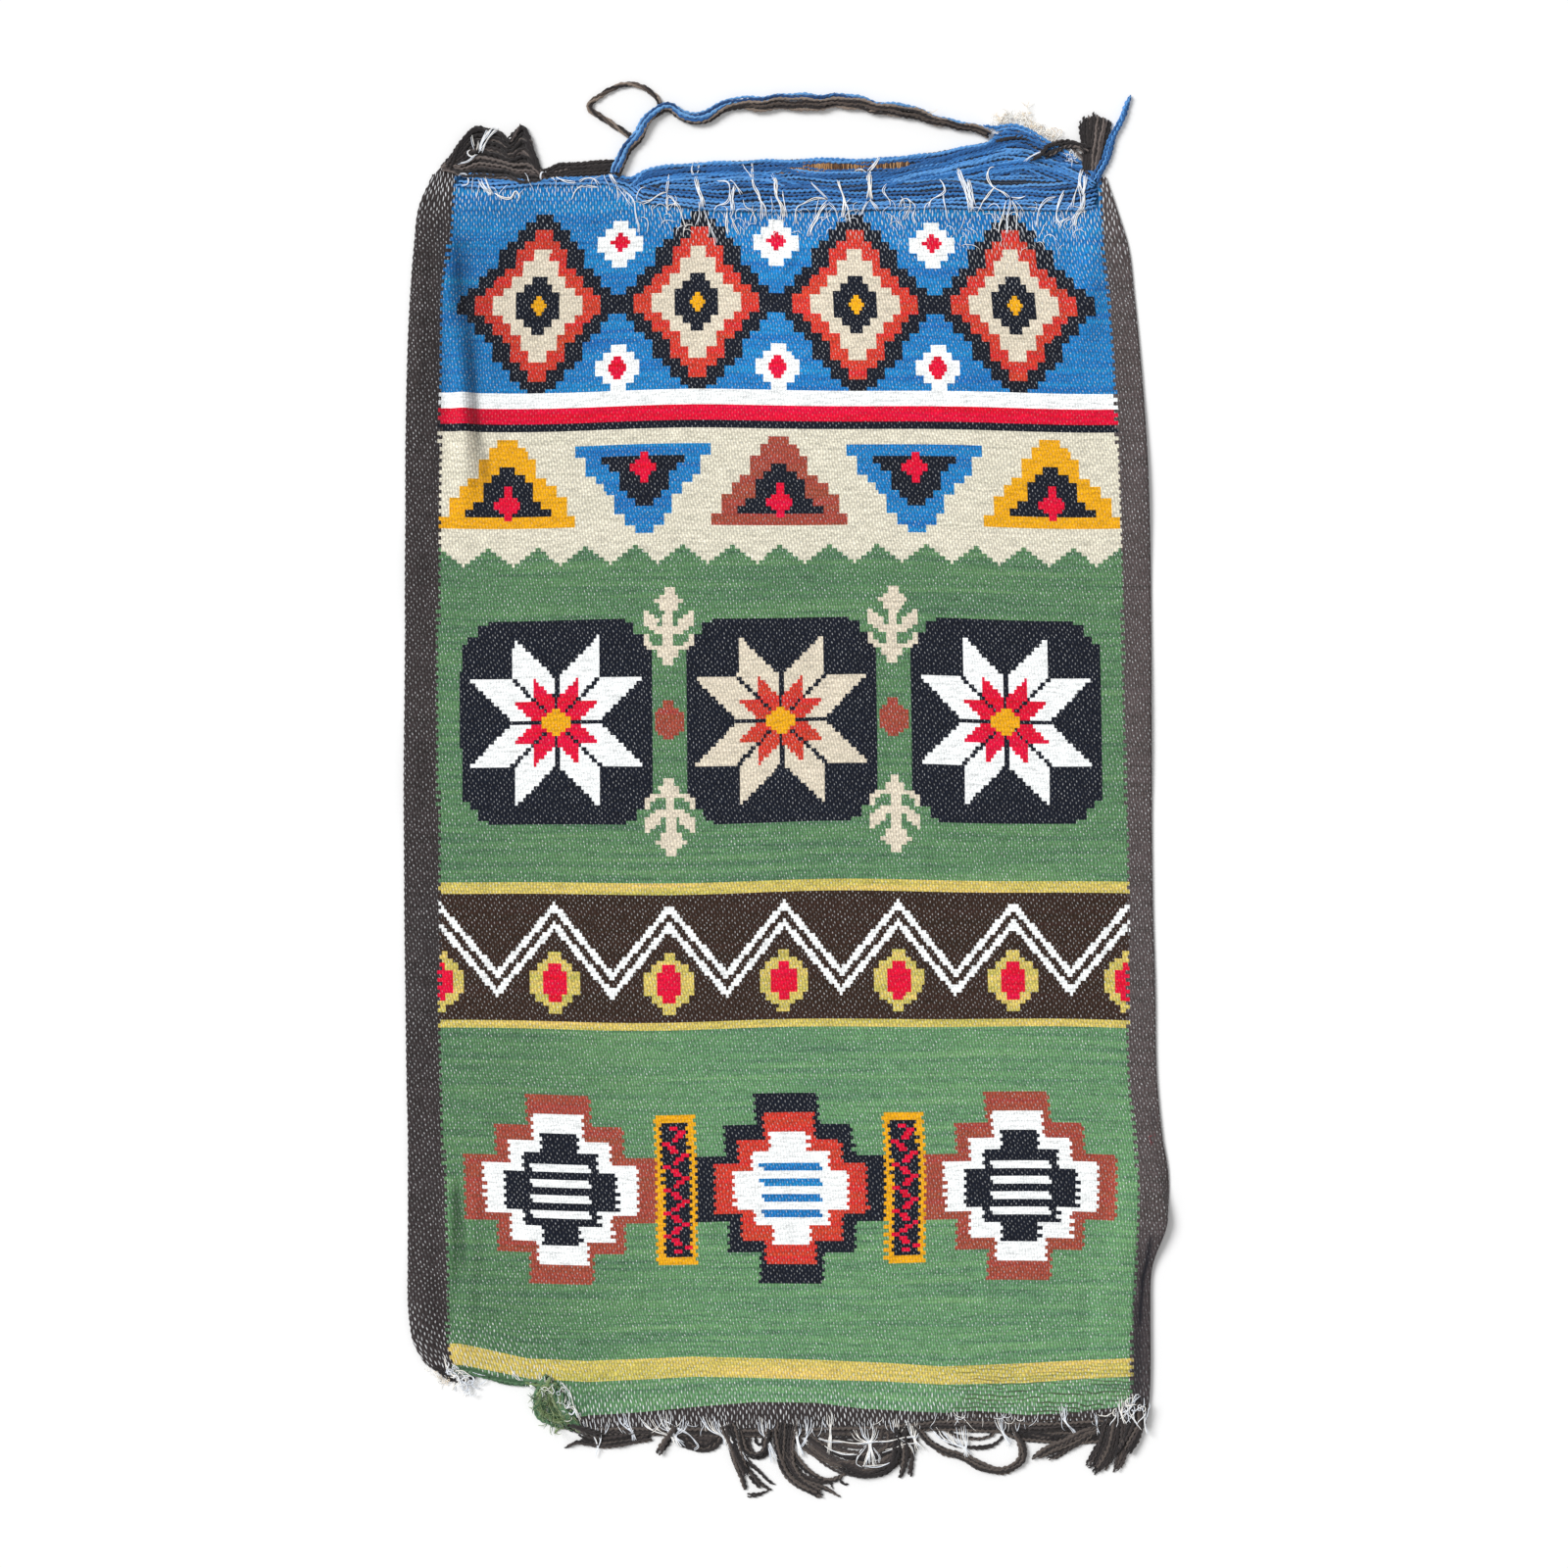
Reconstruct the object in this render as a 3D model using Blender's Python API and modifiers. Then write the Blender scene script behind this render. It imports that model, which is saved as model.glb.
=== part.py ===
"""A small hand-woven tapestry that lies flat, face up, with both of its ends coming undone.

The cloth's top points to +Y and the surface it lies on is z = 0. The tables below are in millimetres, measured from
the middle of the piece, and MM turns them into metres where meshes are made. Strands of loosened weft are fused
at their roots into narrow strips that lie a hair away from the cloth's raw edges.
"""

import math
from collections import namedtuple

import bmesh
import bpy
import numpy as np
from mathutils import Matrix, Vector

MM = 0.001
GAP = 0.3  # between pieces that touch in the real thing

# The cloth
CLOTH_THICKNESS = 2.0
FIELD_COLUMN_STEP = 23.0
NOTCH_XS = (-209, -196, -187, -178, -168)  # columns of their own where the lower left end is torn away in a step
LEFT_EXTRAS = (7, 14, 21, 28, 36)  # how far inside the left seam the creased cloth has more columns
RIGHT_EXTRAS = (6, 12, 18, 26, 35)  # and the same beside the right seam, which the folded border lifts
BORDER_COLUMNS = 4
ROW_STEP = 25.0
FOLD_ROW_STEP = 12.5
FOLD_ROWS_FROM, FOLD_ROWS_TO = -285.0, -410.0
TOP_NEAR, BOTTOM_NEAR = 505.0, -465.0  # where the end tables' x is read

# The fold of the lower right border
BEND_RADIUS = 1.7  # of the sheet's middle surface
TURNED_LENGTH = 10.3  # from where the bend begins to the raw edge
BEND_COLUMNS, FLAP_COLUMNS, FLAT_COLUMNS = 4, 2, 3
RISE_WIDTH = 26.0  # of the field beside the border that a raised border lifts

# The loosened wefts
STRIP_WIDTH = 4.0
STRIP_HEIGHT = 2.4
STRAND_FLATTENING = 0.6  # a strand's height as a share of its width
STRAND_STEP = 8.0  # between the points of a strand
SQUARE_TILT = math.radians(45)  # turns a four-sided strand onto a flat side

# The cords
YARN_DIAMETER = 10.0
YARN_STEP = 22.0
LOOP_DIAMETER = 3.6
LOOP_STEP = 7.5

Edge = namedtuple("Edge", "y left left_seam right_seam right turn_deg")
EDGES = (
    Edge(508, -289, -271, 255, 260, 0),
    Edge(482, -300, -273, 256, 269, 0),
    Edge(450, -304, -275, 258, 279, 0),
    Edge(410, -307, -279, 263, 284, 0),
    Edge(370, -309, -280, 267, 288, 0),
    Edge(290, -311, -283, 270, 294, 0),
    Edge(202, -311, -284, 273, 297, 0),
    Edge(42, -312, -284, 277, 298, 0),
    Edge(-80, -312, -284, 278, 299, 0),
    Edge(-150, -311, -283, 279, 301, 0),
    Edge(-238, -310, -281, 281, 303, 0),
    Edge(-278, -309, -280, 285, 307, 0),
    Edge(-310, -309, -279, 286, 311.4, 35),
    Edge(-350, -309, -278, 285, 309, 100),
    Edge(-382, -309, -277, 284, 298, 170),
    Edge(-422, -308, -277, 282, 296, 180),
    Edge(-446, -304, -275, 282, 296, 180),
    Edge(-470, -291, -271, 282, 296, 180),
    Edge(-494, -284, -270, 282, 295, 180),
    Edge(-520, -280, -270, 281, 290, 180),
)

End = namedtuple("End", "x y")
TOP_END = (
    End(-289, 508),
    End(-280, 517),
    End(-270, 511),
    End(-258, 509),
    End(-204, 503),
    End(-188, 505),
    End(-140, 507),
    End(-128, 500),
    End(-82, 498),
    End(-34, 498),
    End(14, 498),
    End(62, 499),
    End(102, 502),
    End(146, 503),
    End(190, 503),
    End(238, 505),
    End(260, 506),
)
BOTTOM_END = (
    End(-299, -458),
    End(-291, -466),
    End(-283, -473),
    End(-277, -478),
    End(-270, -471),
    End(-250, -474),
    End(-230, -479),
    End(-209, -482),
    End(-196, -484),
    End(-186, -494),
    End(-178, -510),
    End(-168, -519),
    End(-82, -520),
    End(-2, -521),
    End(78, -518),
    End(146, -514),
    End(192, -517),
    End(218, -517),
    End(266, -510),
    End(296, -513),
)

# Soft ridges and puckers. along and across are half lengths, and heading_deg is turned from +Y towards +X.
Ridge = namedtuple("Ridge", "x y along across height heading_deg")
RIDGES = (
    Ridge(-252, 345, 75, 10, 6.5, -4),
    Ridge(-280, 400, 60, 10, 5.0, 3),
    Ridge(-264, 285, 45, 9, 4.5, 0),
    Ridge(-306, 190, 40, 11, 3.5, 0),
    Ridge(-306, 20, 45, 12, 4.5, 0),
    Ridge(-300, -150, 60, 12, 3.5, 0),
    Ridge(-262, -375, 70, 10, 4.5, 2),
    Ridge(-296, -420, 45, 12, 4.5, -6),
    Ridge(246, 415, 50, 12, 5.5, 6),
    Ridge(292, 250, 60, 11, 3.5, 0),
    Ridge(290, 60, 60, 12, 3.0, 0),
    Ridge(262, -420, 70, 12, 3.0, 3),
    Ridge(-235, 486, 12, 30, 3.5, 0),
    Ridge(-60, 482, 14, 60, 4.0, 0),
    Ridge(120, 484, 14, 50, 4.5, -4),
    Ridge(215, 488, 14, 30, 4.5, 0),
    Ridge(-112, -506, 12, 42, 4.0, 0),
    Ridge(12, -503, 13, 48, 4.5, 3),
    Ridge(110, -500, 12, 36, 4.0, -4),
    Ridge(222, -496, 14, 36, 4.5, 4),
)
RIDGE_FOOT = 0.5  # what a ridge is lowered by, so that the cloth between ridges lies flat

# Loosened wefts: their width at the root and the tip, and the route of the strand's middle, seen from above
Strand = namedtuple("Strand", "root tip route")
TOP_LEFT_STRANDS = (
    Strand(3.6, 3.4, ((-268, 513.4), (-252, 517), (-232, 516), (-215, 511), (-208, 507))),
    Strand(3.6, 3.4, ((-270, 514), (-254, 521.5), (-232, 521), (-212, 515), (-204, 506.4))),
    Strand(3.8, 3.4, ((-271, 516), (-257, 526), (-233, 526.5), (-210, 520), (-200, 505))),
    Strand(3.8, 3.4, ((-272, 518), (-260, 530), (-235, 532.5), (-210, 526), (-197, 506))),
    Strand(4.2, 3.0, ((-272, 520), (-262, 534), (-242, 538.5), (-222, 536), (-206, 529), (-198, 518))),
    Strand(5.0, 2.6, ((-273, 519), (-267, 532), (-259, 542), (-252, 546), (-246, 544.5))),
    Strand(5.0, 2.6, ((-226, 535), (-220, 543), (-216, 549.5))),
    Strand(4.4, 2.4, ((-207, 528), (-210, 538), (-214.5, 547))),
    Strand(3.2, 3.0, ((-191, 507), (-182, 511.5), (-164, 512.5), (-147, 513.5))),
    Strand(3.2, 2.8, ((-190, 508), (-184, 515.5), (-166, 516.5), (-147, 517.8))),
)
TOP_STRANDS = (
    Strand(2.8, 3.4, ((-123, 502.6), (-116, 511), (-100, 514), (-60, 517), (-20, 518.6), (20, 519), (60, 518.8),
                      (95, 521.5), (125, 526), (150, 532), (170, 540), (188, 544.5), (206, 541))),
    Strand(3.2, 3.6, ((-119, 502.2), (-111, 508), (-80, 511.4), (-40, 513), (-6, 512.4), (16, 507.2), (40, 506.4),
                      (62, 507.6), (82, 509), (104, 514), (128, 521), (152, 527.4), (172, 535), (188, 538.8),
                      (203, 535))),
    Strand(3.2, 3.2, ((-113, 501.8), (-104, 505), (-80, 507.2), (-40, 508.8), (-12, 507.4), (5, 500.8))),
    Strand(2.4, 2.4, ((-105, 501), (-96, 503.8), (-66, 504), (-38, 504.8), (-18, 503.8), (-8, 500))),
    Strand(3.2, 3.6, ((65, 502), (76, 504.8), (98, 508.6), (124, 516), (148, 522.4), (172, 529.4), (188, 532.8),
                      (200, 530))),
    Strand(3.2, 3.4, ((93, 504), (106, 507.4), (128, 511.6), (150, 517), (172, 523.6), (190, 527), (200, 525))),
    Strand(3.2, 3.2, ((113, 505), (126, 507.8), (150, 511.6), (175, 517), (200, 519.4), (226, 516.8),
                      (243, 513.4), (250, 508))),
    Strand(3.0, 3.0, ((153, 506), (168, 509.6), (196, 513.8), (220, 511.6), (232, 507.4))),
    Strand(6.6, 2.0, ((254.5, 508.8), (259.5, 520), (266.5, 538), (274, 555), (281.5, 572.6))),
)
TUFT_ROOT = ((241.5, 515.2), (246.5, 514.2), (252.6, 514.2))
TOP_RIGHT_STRANDS = (
    Strand(3.2, 4.2, ((243, 518), (242, 532), (241, 546), (242, 557))),
    Strand(3.2, 4.2, ((245.5, 517.5), (245.6, 532), (246, 546), (247, 559))),
    Strand(3.2, 4.2, ((248, 517), (249.2, 532), (251, 546), (252, 559))),
    Strand(3.2, 4.2, ((249.6, 517), (252.4, 532), (255.6, 546), (257.2, 557.5))),
    Strand(3.2, 4.0, ((250.6, 517), (255.2, 532), (260, 546), (262.2, 554))),
    Strand(3.4, 3.0, ((243, 519.6), (234, 529), (222, 534.5), (211, 531.5), (207, 525))),
)
BOTTOM_STRANDS = (
    Strand(6.6, 2.0, ((-117, -524.2), (-130, -527.5), (-148, -529.5), (-162, -528), (-171, -527), (-181, -532.5))),
    Strand(3.4, 2.2, ((-160, -521.6), (-172, -523), (-181, -523.5))),
    Strand(4.4, 2.6, ((-98, -522), (-103, -530), (-108, -537.5))),
    Strand(3.4, 2.0, ((-91.5, -522), (-96.5, -530), (-100, -536.5))),
    Strand(4.6, 4.6, ((-84, -522), (-76, -530.5), (-67, -533.5), (-58, -530), (-53, -522))),
    Strand(3.0, 3.0, ((-77, -522), (-67, -527.5), (-59, -522))),
    Strand(4.6, 3.0, ((-48, -522), (-46, -532), (-42, -544), (-36, -556), (-33, -571))),
    Strand(4.6, 2.6, ((-43, -522), (-40.5, -533), (-36.5, -544), (-28, -554), (-20, -561), (-12, -566))),
    Strand(4.0, 2.0, ((-38, -522), (-35.5, -533), (-31, -543), (-22, -552), (-14, -559), (-7, -562))),
    Strand(2.6, 2.6, ((-32, -570.5), (-22, -569.5), (-13, -565.5))),
    Strand(4.4, 4.4, ((-30, -522), (-30, -531), (-26, -538), (-19, -538.5), (-14, -533), (-13.5, -522))),
    Strand(2.6, 2.6, ((-25, -522), (-23.5, -527.8), (-20.3, -527.8), (-18.6, -522))),
    Strand(5.0, 4.4, ((-8.5, -522), (-7, -536), (-2, -548), (8, -559.5), (20, -567), (31, -571))),
    Strand(5.0, 2.4, ((-2.5, -522), (-1, -535), (4, -546), (13, -556), (24, -562), (35, -566), (44, -572))),
    Strand(4.6, 4.0, ((3.5, -522), (5, -533), (10.5, -543), (19.5, -552.5), (31, -557.5), (43, -556), (51, -549))),
    Strand(4.4, 4.4, ((9, -522), (13, -530.5), (22, -537.5), (34, -542), (46, -545), (54, -548))),
    Strand(3.0, 2.2, ((33, -557), (37, -564), (35, -570))),
    Strand(2.6, 2.0, ((43, -556), (46, -560.5), (52, -561))),
    Strand(7.6, 6.0, ((44, -545), (54, -551), (67, -553.5), (80, -550), (88, -541), (90, -531), (89.5, -521))),
    Strand(3.6, 3.6, ((40, -543), (54, -543.6), (68, -545), (80, -541), (86, -534))),
    Strand(4.4, 4.4, ((20, -523), (31, -529.5), (46, -535.5), (60, -538.2), (74, -536.6), (82, -530), (83, -520.5))),
    Strand(3.6, 3.6, ((29, -522.3), (41, -527), (55, -531), (67, -530.5), (75, -526), (77, -520))),
    Strand(5.0, 4.2, ((97, -519.5), (97.5, -534), (95.5, -547), (92, -557.5))),
    Strand(4.6, 3.6, ((103.5, -519), (103.5, -534), (102.5, -545), (100.5, -555))),
    Strand(5.2, 4.2, ((110, -518.5), (118, -528.5), (132, -536), (147, -541), (159, -548), (172, -551),
                      (184, -548.5), (192.5, -542), (193, -531), (187, -518.5))),
    Strand(3.0, 3.0, ((121, -517), (135, -527.5), (152, -532), (167, -529.5), (176, -523.5), (180, -517.5))),
    Strand(2.8, 2.8, ((130, -516.5), (142, -522.6), (155, -524.6), (166, -521.8), (170, -517))),
    Strand(6.4, 3.0, ((247, -517.4), (236, -521), (222, -527.5), (210, -534), (199, -541))),
    Strand(5.2, 3.0, ((252.5, -515.6), (243, -525), (231, -532.5), (220, -538.5), (211, -541))),
    Strand(3.4, 3.0, ((202, -519.6), (212, -523.4), (222, -519))),
    Strand(5.4, 3.6, ((259.5, -513), (256, -526), (250.5, -538), (245, -546.5))),
    Strand(5.4, 4.0, ((265.5, -512.5), (262.5, -528), (257, -541), (251, -553.5))),
    Strand(5.0, 4.0, ((271.5, -513), (269.5, -528), (265, -540), (260, -550))),
    Strand(5.0, 4.0, ((277.5, -513.5), (276.5, -528), (273, -541), (267.5, -552))),
)
GREEN_STRANDS = (
    Strand(3.0, 3.0, ((-196, -487), (-202, -492), (-204.5, -500), (-201, -508), (-192, -511), (-183, -507))),
    Strand(2.8, 2.8, ((-190, -493), (-196, -496), (-197.5, -501), (-193, -505), (-186, -502))),
    Strand(3.0, 1.8, ((-179, -514), (-186, -516.5), (-190, -521.5))),
)

# The free yarns, seen from above. The long bundle dips and rises, and the loop leaves it and comes back to it.
YARN_ROUTE = (
    (-137, 506.7), (-130, 527), (-118.5, 545), (-108, 557.5), (-96, 562), (-84, 556.5), (-73, 553.5),
    (-56, 559), (-42, 565), (-18, 566), (2, 566.5), (39, 567.5), (68, 564.5), (102, 558), (132, 550),
    (148, 546), (162, 542.6),
)
LOOP_ROUTE = (
    (-103.1, 565.9), (-108, 573), (-117, 579.2), (-126, 581.6), (-134.5, 581), (-144.5, 577), (-154.5, 570.5),
    (-161, 565), (-158.5, 559.5), (-151, 554.8), (-140, 547.6), (-127.8, 539.6),
)


def smooth_at(table, column, at):
    """The value of a table's column at a key, on a smooth curve through the rows. The first field is the key."""
    rows = sorted(table)
    keys = np.array([row[0] for row in rows], float)
    values = np.array([getattr(row, column) for row in rows], float)
    slopes = np.gradient(values, keys)
    at = min(max(at, keys[0]), keys[-1])
    i = min(int(np.searchsorted(keys, at, side="right")) - 1, len(keys) - 2)
    span = keys[i + 1] - keys[i]
    s = (at - keys[i]) / span
    return (
        (2 * s**3 - 3 * s**2 + 1) * values[i]
        + (s**3 - 2 * s**2 + s) * span * slopes[i]
        + (3 * s**2 - 2 * s**3) * values[i + 1]
        + (s**3 - s**2) * span * slopes[i + 1]
    )


def straight_at(table, at):
    """The y of an end's table at x, on straight runs between its rows."""
    return float(np.interp(at, [row.x for row in table], [row.y for row in table]))


def smooth_step(s):
    s = min(max(s, 0.0), 1.0)
    return s * s * (3 - 2 * s)


def relief(x, y):
    """How high the ridges lift the cloth above the surface."""
    total = 0.0
    for ridge in RIDGES:
        heading = math.radians(ridge.heading_deg)
        dx, dy = x - ridge.x, y - ridge.y
        along = dx * math.sin(heading) + dy * math.cos(heading)
        across = dx * math.cos(heading) - dy * math.sin(heading)
        total += ridge.height * math.exp(-((along / ridge.along) ** 2) - (across / ridge.across) ** 2)
    return max(0.0, total - RIDGE_FOOT)


def turned_section(y, fraction_column):
    """Where a column of the right border lies beside its seam at y, as (distance out, height, lift of the border).

    fraction_column counts columns outward: the flat stretch, then the bend, then the flap to the raw edge.
    """
    turn = math.radians(smooth_at(EDGES, "turn_deg", y))
    turn = min(max(turn, 0.0), math.pi)
    shown = smooth_at(EDGES, "right", y) - smooth_at(EDGES, "right_seam", y)
    turned = min(TURNED_LENGTH, 0.7 * shown)
    arc = BEND_RADIUS * turn
    straight = turned - arc
    reach = BEND_RADIUS if turn > math.pi / 2 else BEND_RADIUS * math.sin(turn) + straight * math.cos(turn)
    flat = shown - reach
    lift = BEND_RADIUS * (1 - math.cos(turn)) + straight * math.sin(turn)
    bend_length = min(BEND_RADIUS * math.pi, 0.5 * turned)
    if fraction_column <= FLAT_COLUMNS:
        return flat * fraction_column / FLAT_COLUMNS, lift, lift
    if fraction_column <= FLAT_COLUMNS + BEND_COLUMNS:
        s = bend_length * (fraction_column - FLAT_COLUMNS) / BEND_COLUMNS
    else:
        rest = (fraction_column - FLAT_COLUMNS - BEND_COLUMNS) / FLAP_COLUMNS
        s = bend_length + (turned - bend_length) * rest
    angle = min(s / BEND_RADIUS, turn)
    beyond = s - BEND_RADIUS * angle
    out = flat + BEND_RADIUS * math.sin(angle) + beyond * math.cos(angle)
    down = BEND_RADIUS * (1 - math.cos(angle)) + beyond * math.sin(angle)
    return out, lift - down, lift


def field_fractions():
    """The field's columns, as shares of its width: even ones, with set ones in place of those near them."""
    left, right = (smooth_at(EDGES, side, BOTTOM_NEAR) for side in ("left_seam", "right_seam"))
    inner = [*NOTCH_XS, *(left + extra for extra in LEFT_EXTRAS), *(right - extra for extra in RIGHT_EXTRAS)]
    count = round((right - left) / FIELD_COLUMN_STEP)
    even = [left + (right - left) * i / count for i in range(1, count)]
    kept = [x for x in even if min(abs(x - own) for own in inner) > FIELD_COLUMN_STEP / 3]
    return [(x - left) / (right - left) for x in sorted([left, *kept, *inner, right])]


FIELD_FRACTIONS = field_fractions()
LEFT_COLUMNS = BORDER_COLUMNS
FIELD_COLUMNS = len(FIELD_FRACTIONS) - 1
RIGHT_COLUMNS = FLAT_COLUMNS + BEND_COLUMNS + FLAP_COLUMNS
COLUMNS = LEFT_COLUMNS + FIELD_COLUMNS + RIGHT_COLUMNS


def sheet_point(column, y):
    """The cloth's middle surface at a column and a height y on the page. The ridges leave the flap where it lies."""
    left, left_seam = smooth_at(EDGES, "left", y), smooth_at(EDGES, "left_seam", y)
    right_seam = smooth_at(EDGES, "right_seam", y)
    lift = turned_section(y, 0)[2]
    if column <= LEFT_COLUMNS:
        x = left + (left_seam - left) * column / LEFT_COLUMNS
        raised = 0.0
    elif column <= LEFT_COLUMNS + FIELD_COLUMNS:
        x = left_seam + (right_seam - left_seam) * FIELD_FRACTIONS[column - LEFT_COLUMNS]
        raised = lift * smooth_step(1 - (right_seam - x) / RISE_WIDTH)
    else:
        out, raised, lift = turned_section(y, column - LEFT_COLUMNS - FIELD_COLUMNS)
        x = right_seam + out
    z = CLOTH_THICKNESS / 2 + max(raised, 0.0)
    in_flap = column > LEFT_COLUMNS + FIELD_COLUMNS and lift > BEND_RADIUS and raised < lift / 2
    if not in_flap:
        z += relief(x, y)
    return Vector((x, y, z))


def end_y(table, column, near):
    return straight_at(table, sheet_point(column, near).x)


def row_heights():
    """The rows of the sheet from top to bottom, closer together where the border folds under."""
    rows, y = [], max(row.y for row in TOP_END)
    bottom = min(row.y for row in BOTTOM_END)
    while y > bottom + ROW_STEP / 2:
        rows.append(y)
        y -= FOLD_ROW_STEP if FOLD_ROWS_TO < y < FOLD_ROWS_FROM else ROW_STEP
    rows.append(bottom)
    return rows


def cloth_grid():
    """The vertices of the cloth's middle surface, row by row from the top. Its rows ease from one end to the other."""
    rows = row_heights()
    tops = [end_y(TOP_END, column, TOP_NEAR) for column in range(COLUMNS + 1)]
    bottoms = [end_y(BOTTOM_END, column, BOTTOM_NEAR) for column in range(COLUMNS + 1)]
    grid = []
    for y in rows:
        t = (rows[0] - y) / (rows[0] - rows[-1])
        grid.append([sheet_point(c, tops[c] + t * (bottoms[c] - tops[c])) for c in range(COLUMNS + 1)])
    return grid


def material(name, colour, roughness=0.9):
    made = bpy.data.materials.new(name)
    made.use_nodes = True
    shader = made.node_tree.nodes["Principled BSDF"]
    shader.inputs["Base Color"].default_value = (*colour, 1.0)
    shader.inputs["Roughness"].default_value = roughness
    shader.inputs["Metallic"].default_value = 0.0
    return made


def new_object(name, mesh, collection, look=None):
    made = bpy.data.objects.new(name, mesh)
    collection.objects.link(made)
    if look:
        mesh.materials.append(look)
    return made


def sheet_object(name, grid, thickness, collection, look):
    """A sheet through a grid of points in millimetres, thickened evenly on both sides."""
    rows, columns = len(grid), len(grid[0])
    bm = bmesh.new()
    bmesh.ops.create_grid(bm, x_segments=columns - 1, y_segments=rows - 1, size=1.0)
    # The grid's vertices are put in reading order, the top row first, before each takes its place.
    ordered = sorted(bm.verts, key=lambda v: (-round(v.co.y, 4), round(v.co.x, 4)))
    places = [point for row in grid for point in row]
    for vertex, place in zip(ordered, places):
        vertex.co = place * MM
    bmesh.ops.recalc_face_normals(bm, faces=bm.faces)
    mesh = bpy.data.meshes.new(name)
    bm.to_mesh(mesh)
    bm.free()
    mesh.shade_smooth()
    made = new_object(name, mesh, collection, look)
    solid = made.modifiers.new("thickness", "SOLIDIFY")
    solid.thickness = thickness * MM
    solid.offset = 0.0
    solid.use_even_offset = True
    return made


def edge_strip(points, outward):
    """A two-row grid beside an edge: its near side a gap away from the edge, its far side a strip's width on."""
    middle = STRIP_HEIGHT / 2
    near, far = [], []
    for i, point in enumerate(points):
        before, after = points[max(i - 1, 0)], points[min(i + 1, len(points) - 1)]
        run = Vector((after.x - before.x, after.y - before.y, 0)).normalized()
        aside = Vector((-run.y, run.x, 0)) * outward
        near.append(Vector((point.x, point.y, middle)) + aside * GAP * 1.4)
        far.append(Vector((point.x, point.y, middle)) + aside * STRIP_WIDTH)
    return [far, near] if outward > 0 else [near, far]


def smooth_route(points, step):
    """Points every step or so along a smooth curve through a route's own points."""
    points = [Vector((*p, 0.0)) if len(p) == 2 else Vector(p) for p in points]
    fine = []
    for i in range(len(points) - 1):
        p0, p1 = points[max(i - 1, 0)], points[i]
        p2, p3 = points[i + 1], points[min(i + 2, len(points) - 1)]
        for k in range(12):
            s = k / 12
            fine.append(
                0.5 * (2 * p1 + (p2 - p0) * s + (2 * p0 - 5 * p1 + 4 * p2 - p3) * s**2
                       + (3 * p1 - p0 - 3 * p2 + p3) * s**3)
            )
    fine.append(points[-1])
    lengths = np.cumsum([0.0] + [(b - a).length for a, b in zip(fine, fine[1:])])
    count = max(2, round(lengths[-1] / step) + 1)
    wanted = np.linspace(0.0, lengths[-1], count)
    xyz = [np.interp(wanted, lengths, [p[axis] for p in fine]) for axis in range(3)]
    return [Vector(p) for p in zip(*xyz)]


def tube(name, route, widths, sides_resolution, tilt, collection, look=None):
    """A curve object of one straight-edged spline with a bevel: widths are the bevel's diameters along it."""
    curve = bpy.data.curves.new(name, "CURVE")
    curve.dimensions = "3D"
    curve.twist_mode = "Z_UP"
    curve.bevel_depth = MM / 2
    curve.bevel_resolution = sides_resolution
    curve.use_fill_caps = True
    spline = curve.splines.new("POLY")
    spline.points.add(len(route) - 1)
    for point, place, width in zip(spline.points, route, widths):
        point.co = (*(place * MM), 1.0)
        point.radius = width
        point.tilt = tilt
    made = bpy.data.objects.new(name, curve)
    collection.objects.link(made)
    if look:
        curve.materials.append(look)
    return made


def curve_as_mesh(curve_object):
    """The curve's surface as a closed mesh in world space, its caps welded on. The curve is removed."""
    depsgraph = bpy.context.evaluated_depsgraph_get()
    mesh = bpy.data.meshes.new_from_object(curve_object.evaluated_get(depsgraph))
    mesh.transform(curve_object.matrix_world)
    bm = bmesh.new()
    bm.from_mesh(mesh)
    bmesh.ops.remove_doubles(bm, verts=bm.verts, dist=0.00001)
    bmesh.ops.recalc_face_normals(bm, faces=bm.faces)
    bm.to_mesh(mesh)
    bm.free()
    curve = curve_object.data
    bpy.data.objects.remove(curve_object)
    bpy.data.curves.remove(curve)
    return mesh


def strand_mesh(name, strand, collection):
    """A four-sided strand that lies level on the surface, flat side down, tapering from root to tip."""
    route = smooth_route(strand.route, STRAND_STEP)
    widths = np.linspace(strand.root, strand.tip, len(route))
    across_corners = widths * math.sqrt(2)
    for place, width in zip(route, widths):
        place.z = width / 2
    mesh = curve_as_mesh(tube(name, route, across_corners, 0, SQUARE_TILT, collection))
    mesh.transform(Matrix.Diagonal((1.0, 1.0, STRAND_FLATTENING, 1.0)))
    return mesh


def fringe(name, strip, strands, parts, cutters, look):
    """A strip with its strands fused on at their roots."""
    made = sheet_object(name, strip, STRIP_HEIGHT, parts, look)
    bm = bmesh.new()
    for number, strand in enumerate(strands):
        bm.from_mesh(strand_mesh(f"{name}_strand_{number}", strand, cutters))
    mesh = bpy.data.meshes.new(f"{name}_strands")
    bm.to_mesh(mesh)
    bm.free()
    added = new_object(f"{name}_strands", mesh, cutters)
    added.hide_render = True
    added.display_type = "WIRE"
    union = made.modifiers.new("strands", "BOOLEAN")
    union.operation = "UNION"
    union.solver = "EXACT"
    union.use_self = True
    union.object = added
    return made


def cord_route(route, diameter, step):
    """The route raised so that the cord lies on the surface."""
    points = smooth_route(route, step)
    for point in points:
        point.z = diameter / 2 + GAP / 3
    return points


def edge_between(points, low, high):
    """The stretch of an edge from x = low to x = high, with a point of its own at each end."""
    xs = [p.x for p in points]
    ends = [Vector((x, float(np.interp(x, xs, [p.y for p in points])), 0.0)) for x in (low, high)]
    return [ends[0], *(p for p in points if low + 1 < p.x < high - 1), ends[1]]


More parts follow.
